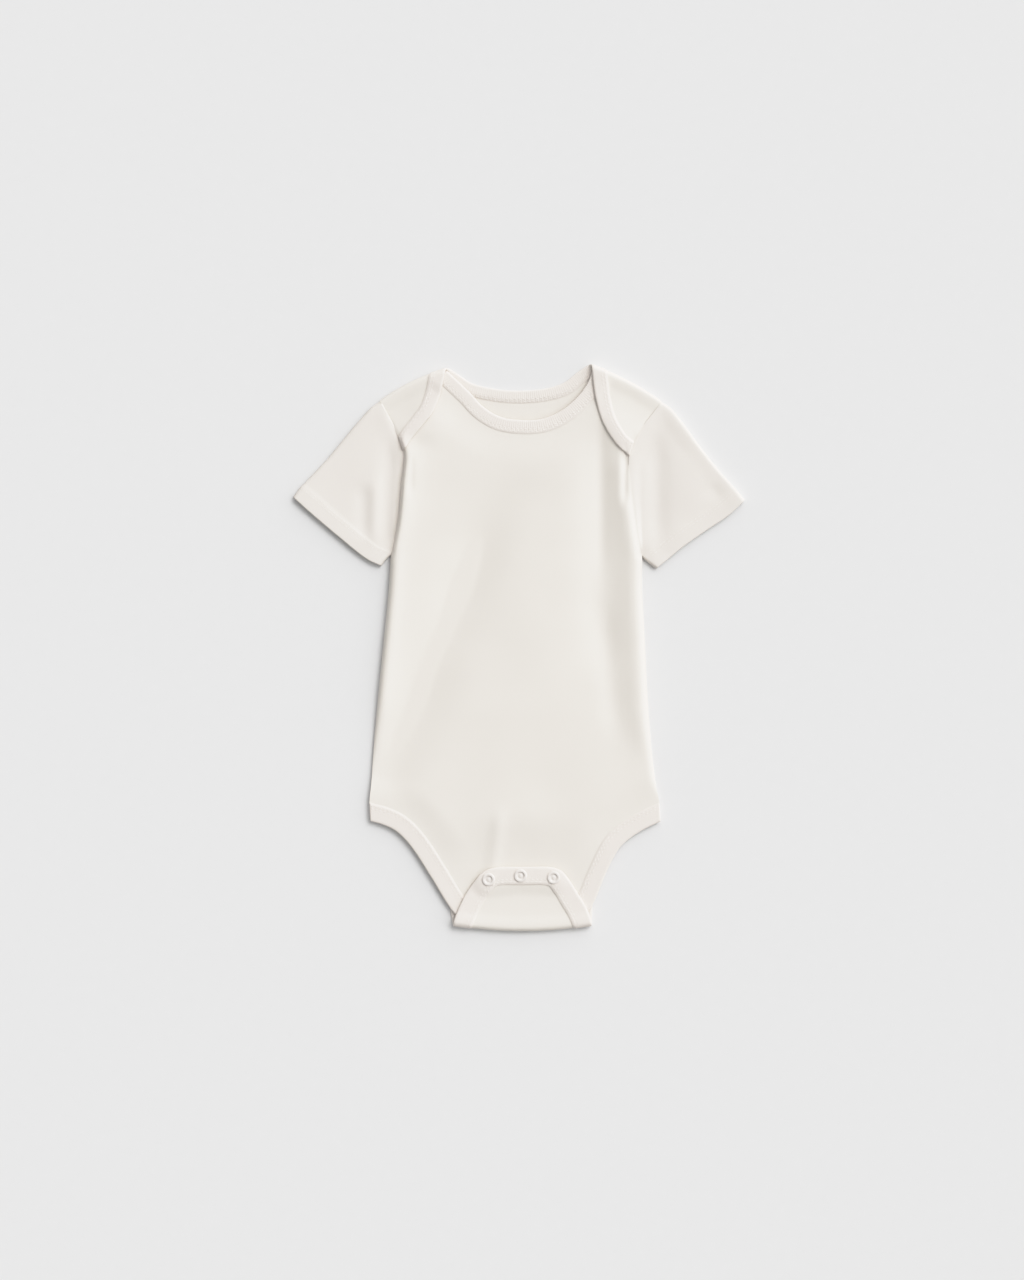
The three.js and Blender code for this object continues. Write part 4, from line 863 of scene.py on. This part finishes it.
def sleeve(name, edges, armhole, corner, folds):
    net, rolled, across, hem = sleeve_net(edges, armhole, corner, folds)
    rows_count, count = net.shape[:2]
    outward = edges["outward"]
    round_ring = np.roll(net, -1, axis=1) - np.roll(net, 1, axis=1)
    along_it = np.gradient(net, axis=0)
    normal = unit(np.cross(round_ring, along_it) * outward)
    from_hem = nearest(hem, net[..., :2].reshape(-1, 2))[0].reshape(rows_count, count)
    place_round = np.arange(count)[None]
    on_top = (place_round >= rolled // 2) & (place_round < rolled + across + rolled // 2)
    extra = HEM_EXTRA * (1 - smooth(HEM_DEPTH - 1.2, HEM_DEPTH + 0.8, from_hem)) * on_top
    crease = GROOVE * sum(bell((from_hem - place) / HEM_GROOVE_REACH) for place in HEM_STITCHES) * on_top
    half = CLOTH_HALF + extra
    nose = rounded_off(from_hem / HEM_EDGE)
    skins = np.vstack([(net + normal * ((half - crease) * nose)[..., None]).reshape(-1, 3),
                       (net - normal * (CLOTH_HALF * nose)[..., None]).reshape(-1, 3)])
    ids = np.arange(rows_count * count).reshape(rows_count, count)
    closed = closed_round(ids)
    quads = four_sided(closed)
    size = rows_count * count
    first, last = closed[0], closed[-1]
    walls = [np.stack([first[1:], first[:-1], first[:-1] + size, first[1:] + size], axis=-1),
             np.stack([last[:-1], last[1:], last[1:] + size, last[:-1] + size], axis=-1)]
    faces = np.vstack([quads, quads[:, ::-1] + size] + walls)
    if outward < 0:
        faces = faces[:, ::-1]
    around, down = lengths_along(net, 1), lengths_along(net, 0)
    middle = rolled + across // 2
    uv = np.stack([around - around[:, middle:middle + 1], down], axis=-1).reshape(-1, 2)
    obj = make_object(name, skins, faces.tolist(), np.vstack([uv, uv]))
    edge_a = np.roll(net, -1, axis=1)[:-1] - net[:-1]
    area = np.linalg.norm(np.cross(edge_a, net[1:] - net[:-1]), axis=2).sum() * MM * MM
    wide = (around[:, -1] + np.linalg.norm(net[:, -1] - net[:, 0], axis=1)).max() * MM
    outside = net + normal * (half - HEM_THREAD_DEPTH)[..., None]
    rows = []
    column = np.arange(rolled, rolled + across)
    for place in HEM_STITCHES:
        at_row = np.array([np.interp(-place, -from_hem[:, i], np.arange(rows_count)) for i in column])
        below = np.clip(at_row.astype(int), 0, rows_count - 2)
        t = (at_row - below)[:, None]
        rows.append((lerp(outside[below, column], outside[below + 1, column], t), normal[below, column]))
    return obj, (wide, down[-1].max() * MM), area, rows


# Stitches
def stitches(name, rows, length=2.3, gap=0.8, radius=0.2):
    """Small thread capsules along rows; a row is its points in space and the cloth's normal at each."""
    rings, sides = 5, 6
    t = np.linspace(0, 1, rings)
    rise = radius * (1.5 * np.sin(math.pi * t) ** 0.6 - 0.75)
    girth = radius * (0.35 + 0.65 * np.sin(math.pi * t) ** 0.5)
    angle = np.linspace(0, 2 * math.pi, sides, endpoint=False)
    verts, faces, count = [], [], 0
    for points, normals in rows:
        if len(points) < 3:
            continue
        along = lengths(points)
        starts = np.arange(gap, along[-1] - length, length + gap)
        for begin in starts:
            d = begin + t * length
            p, n = at_lengths(d, along, points), at_lengths(d, along, normals)
            side = unit(np.cross(p[-1] - p[0], n))
            centre = p + n * rise[:, None]
            ring = centre[:, None] + girth[:, None, None] * (
                np.cos(angle)[None, :, None] * side[:, None] + np.sin(angle)[None, :, None] * n[:, None])
            verts.append(ring.reshape(-1, 3))
            ids = count + np.arange(rings * sides).reshape(rings, sides)
            faces += four_sided(closed_round(ids))[:, ::-1].tolist()
            faces += [ids[0].tolist(), ids[-1][::-1].tolist()]
            count += rings * sides
    return make_object(name, np.vstack(verts), faces)


def binding_rows(stations, width, surface, is_back, drop):
    """Rows of stitches on the side of a binding that shows, cut where the binding turns over."""
    outer, across, _ = stations_at(stations, 0.8)
    rows = []
    for from_seam in TWO_ROWS:
        flat = outer + across * (1 - from_seam / width)
        base, turned = surface(flat)
        over = turned > 0.5
        up = np.where(over, -1.0, 1.0)
        height = np.where(over, rib_half(from_seam, 0), rib_half(from_seam, drop)) - THREAD_DEPTH
        normal = normals_of(surface, flat)
        path = base + normal * (rib_shift(turned, is_back) + up * height)[:, None]
        cuts = np.flatnonzero(np.diff(over)) + 1
        rows += list(zip(np.split(path, cuts), np.split(normal * up[:, None], cuts)))
    return rows


# Snaps
def lathe(name, profile, centre, sides=64):
    """Turns a closed outline of (radius, height) points about an upright axis."""
    outline = np.asarray(profile, float)
    angle = np.linspace(0, 2 * math.pi, sides, endpoint=False)
    ring = np.stack([np.cos(angle), np.sin(angle)], axis=1)
    verts, ids = [], []
    for radius, height in outline:
        if radius < 1e-6:
            ids.append([len(verts)] * sides)
            verts.append([centre[0], centre[1], height])
        else:
            ids.append(list(range(len(verts), len(verts) + sides)))
            verts += [[centre[0] + radius * x, centre[1] + radius * y, height] for x, y in ring]
    faces = []
    for one, two in zip(ids, ids[1:]):
        for k in range(sides):
            face = [one[k], two[k], two[(k + 1) % sides], one[(k + 1) % sides]]
            face = [v for i, v in enumerate(face) if v != face[i - 1]]
            if len(face) > 2:
                faces.append(face)
    return make_object(name, verts, faces)


def rounded(corners, radius, steps=5):
    """An outline with each of its corners rounded; the first and last points stay."""
    out = [np.array(corners[0], float)]
    for before, corner, after in zip(corners, corners[1:], corners[2:]):
        corner = np.array(corner, float)
        to_before, to_after = np.subtract(before, corner), np.subtract(after, corner)
        r = min(radius, 0.45 * np.linalg.norm(to_before), 0.45 * np.linalg.norm(to_after))
        one, two = corner + unit(to_before) * r, corner + unit(to_after) * r
        for t in np.linspace(0, 1, steps):
            out.append((1 - t) ** 2 * one + 2 * t * (1 - t) * corner + t * t * two)
    return out + [np.array(corners[-1], float)]


def snap_cap(name, centre):
    top = FLAP_AT_SNAPS - TOP_RIB_SHIFT + RIB_HALF
    under = top - 2 * RIB_HALF - 0.1
    outline = [
        (0, top + 0.55), (0.9, top + 0.5), (1.4, top + 0.12), (2.6, top + 0.12), (2.75, top + 0.95),
        (4.1, top + 1.0), (4.7, top + 0.5), (4.7, top - 0.1), (1.1, top - 0.1), (1.1, under),
        (3.9, under), (3.9, under - 0.9), (1.9, under - 0.9), (1.9, under - 0.3), (0, under - 0.3)]
    return lathe(name, rounded(outline, 0.4), centre)


def snap_stud(name, centre):
    top, under = SNAP_RIM + CLOTH_HALF + 0.05, SNAP_RIM - CLOTH_HALF - 0.05
    outline = [
        (0, top + 0.95), (1.6, top + 0.95), (1.6, top + 0.45), (3.6, top + 0.4), (3.6, top), (1.1, top),
        (1.1, under), (4.2, under), (4.2, under - 0.8), (0, under - 0.8)]
    return lathe(name, rounded(outline, 0.3), centre)


# Materials
def new_material(name, colour, roughness, sheen=0.0, coat=0.0):
    material = bpy.data.materials.new(name)
    material.use_nodes = True
    nodes, links = material.node_tree.nodes, material.node_tree.links
    shader = nodes["Principled BSDF"]
    shader.inputs["Base Color"].default_value = (*colour, 1)
    shader.inputs["Roughness"].default_value = roughness
    shader.inputs["Sheen Weight"].default_value = sheen
    shader.inputs["Sheen Roughness"].default_value = 0.45
    shader.inputs["Coat Weight"].default_value = coat
    shader.inputs["Specular IOR Level"].default_value = 0.25
    return material, nodes, links, shader


def noise(nodes, links, scale, detail=2.0):
    place = nodes.new("ShaderNodeTexCoord").outputs["Object"]
    texture = nodes.new("ShaderNodeTexNoise")
    texture.inputs["Scale"].default_value = scale
    texture.inputs["Detail"].default_value = detail
    links.new(place, texture.inputs["Vector"])
    return texture.outputs["Fac"]


def mottled(nodes, links, shader, colour, shade, scale):
    """Slightly uneven colour, in object space."""
    ramp = nodes.new("ShaderNodeValToRGB")
    for element, position, level in zip(ramp.color_ramp.elements, (0.3, 0.7), (1 - shade, 1 + shade)):
        element.position = position
        element.color = (*(c * level for c in colour), 1)
    links.new(noise(nodes, links, scale, 3.0), ramp.inputs["Fac"])
    links.new(ramp.outputs["Color"], shader.inputs["Base Color"])


def bumpy(nodes, links, shader, height, strength, distance):
    bump = nodes.new("ShaderNodeBump")
    bump.inputs["Strength"].default_value = strength
    bump.inputs["Distance"].default_value = distance
    links.new(height, bump.inputs["Height"])
    links.new(bump.outputs["Normal"], shader.inputs["Normal"])


def knit(name, colour, wale, course, strength, shade=0.008):
    """Jersey: columns of small V-shaped loops, in the cut's own millimetres."""
    material, nodes, links, shader = new_material(name, colour, 0.95, sheen=0.08)
    mottled(nodes, links, shader, colour, shade, 18)
    cut = nodes.new("ShaderNodeUVMap")
    cut.uv_map = "cut"
    split = nodes.new("ShaderNodeSeparateXYZ")
    links.new(cut.outputs["UV"], split.inputs["Vector"])

    def op(operation, *inputs):
        node = nodes.new("ShaderNodeMath")
        node.operation = operation
        for socket, value in zip(node.inputs, inputs):
            if isinstance(value, (int, float)):
                socket.default_value = value
            else:
                links.new(value, socket)
        return node.outputs[0]

    u = op("MULTIPLY", split.outputs["X"], 100 / wale)
    v = op("MULTIPLY", split.outputs["Y"], 100 / course)
    leg = op("ABSOLUTE", op("SUBTRACT", op("FRACT", u), 0.5))
    slant = op("SINE", op("MULTIPLY", op("ADD", v, op("MULTIPLY", leg, 1.6)), 2 * math.pi))
    column = op("SINE", op("MULTIPLY", op("FRACT", u), math.pi))
    loops = op("MULTIPLY", op("ADD", op("MULTIPLY", slant, 0.5), 0.5), column)
    fuzz = noise(nodes, links, 900, 4)
    height = op("ADD", loops, op("MULTIPLY", fuzz, 0.9))
    bumpy(nodes, links, shader, height, strength, 0.00018)
    return material


def plain_finish(name, colour, roughness, scale, strength, sheen=0.0, coat=0.0, shade=0.03):
    """A smooth material with faint uneven colour and a fine surface."""
    material, nodes, links, shader = new_material(name, colour, roughness, sheen, coat)
    mottled(nodes, links, shader, colour, shade, 120)
    bumpy(nodes, links, shader, noise(nodes, links, scale), strength, 0.0001)
    return material


jersey = knit("jersey", (0.826, 0.782, 0.722), 0.85, 0.7, 0.22)
sleeve_jersey = knit("sleeve_jersey", (0.815, 0.768, 0.716), 0.85, 0.7, 0.22)
rib_knit = knit("rib_knit", (0.838, 0.782, 0.73), 0.7, 0.6, 0.25)
thread = plain_finish("thread", (0.87, 0.83, 0.79), 0.6, 3000, 0.3, sheen=0.2)
snap_plastic = plain_finish("snap_plastic", (0.80, 0.755, 0.715), 0.3, 700, 0.08, coat=0.3)


# Pieces
def place(obj, material, slot, *nodes):
    obj.data.materials.append(material)
    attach(obj, "root")
    if nodes:
        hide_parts(*nodes)


front, front_area, front_flat = front_panel()
back, back_area, back_flat = back_panel()
place(front, jersey, "cloth", "front_panel")
place(back, jersey, "cloth", "back_panel")

# The photograph's left sleeve is the wearer's right one
hem_rows = []
for node, key, armhole, corner in (
        ("sleeve_right", "left", ARM_LEFT_LINE, LAP_LEFT[-1]),
        ("sleeve_left", "right", ARM_RIGHT_LINE, LAP_RIGHT[-1])):
    obj, flat, area, rows = sleeve(node + "_cloth", SLEEVES[key], armhole, corner, SLEEVE_FOLDS[key])
    place(obj, sleeve_jersey, "sleeve_cloth", node)
    hem_rows += rows

binding_stitches = {"neck": [], "leg": []}
for edge, width, ribs in (("neck", NECK_RIB, NECK_KNIT), ("leg", LEG_RIB, LEG_KNIT)):
    for panel, surface in (("front", front_surface), ("back", back_surface)):
        node, stations, is_back = f"{edge}_binding_{panel}", BANDS[f"{panel}_{edge}"], panel == "back"
        drop = BACK_NECK_DROP if node == "neck_binding_back" else 0
        obj, length = binding(node + "_cloth", stations, width, surface, is_back, drop, **ribs)
        place(obj, rib_knit, "rib", node)
        flat = ((width + INTO_SEAM) * MM, length * MM)
        binding_stitches[edge] += binding_rows(stations, width, surface, is_back, drop)

for number, centre in enumerate(SNAPS, 1):
    place(snap_cap(f"ring_snap_{number}", centre), snap_plastic, "snap", f"snap_cap_{number}")
    place(snap_stud(f"stud_snap_{number}", centre), snap_plastic, "snap", f"snap_stud_{number}")

place(stitches("hem_stitches", hem_rows, radius=0.15), thread, "sleeve_cloth")
for edge, rows in binding_stitches.items():
    place(stitches(edge + "_stitches", rows), thread, "rib")


# Stage
def sun(name, azimuth, elevation, softness, strength):
    """Light from a direction: azimuth is counted from +X towards +Y, in degrees."""
    lamp = bpy.data.lights.new(name, "SUN")
    lamp.angle = math.radians(softness)
    lamp.energy = strength
    obj = add_object(name, lamp)
    a, e = math.radians(azimuth), math.radians(elevation)
    source = Vector((math.cos(a) * math.cos(e), math.sin(a) * math.cos(e), math.sin(e)))
    obj.location = source * 2
    obj.rotation_euler = source.to_track_quat("Z", "Y").to_euler()


floor = add_object("floor", bpy.data.meshes.new("floor"))
floor.data.from_pydata([(-3, -3, 0), (3, -3, 0), (3, 3, 0), (-3, 3, 0)], [], [[0, 1, 2, 3]])
floor.data.materials.append(plain_finish("backdrop", (0.80, 0.80, 0.80), 0.9, 400, 0.02, shade=0.004))

sun("key", azimuth=45, elevation=50, softness=30, strength=1.05)
sun("broad", azimuth=42, elevation=34, softness=100, strength=2.35)
world = bpy.data.worlds.new("world")
world.use_nodes = True
world.node_tree.nodes["Background"].inputs["Color"].default_value = (1, 1, 1, 1)
world.node_tree.nodes["Background"].inputs["Strength"].default_value = 0.34
scene.world = world
view = scene.view_settings
view.view_transform = "Standard"
# The brightest tones are held a little below white
view.use_curve_mapping = True
shoulder = view.curve_mapping.curves[3]
shoulder.points[-1].location = (1, 0.9)
for level in (0.4, 0.8):
    shoulder.points.new(level, level)
view.curve_mapping.update()

# Camera: straight above the photograph's middle
CAMERA_HEIGHT = 3.0
SENSOR = 36
camera = add_object("camera", bpy.data.cameras.new("camera"))
camera.data.sensor_width = SENSOR
camera.data.lens = SENSOR * CAMERA_HEIGHT / (PHOTO_HEIGHT * PIXEL * MM)
camera.location = (*(PHOTO_MIDDLE + FOOTPRINT_SHIFT) * MM, CAMERA_HEIGHT)
scene.camera = camera
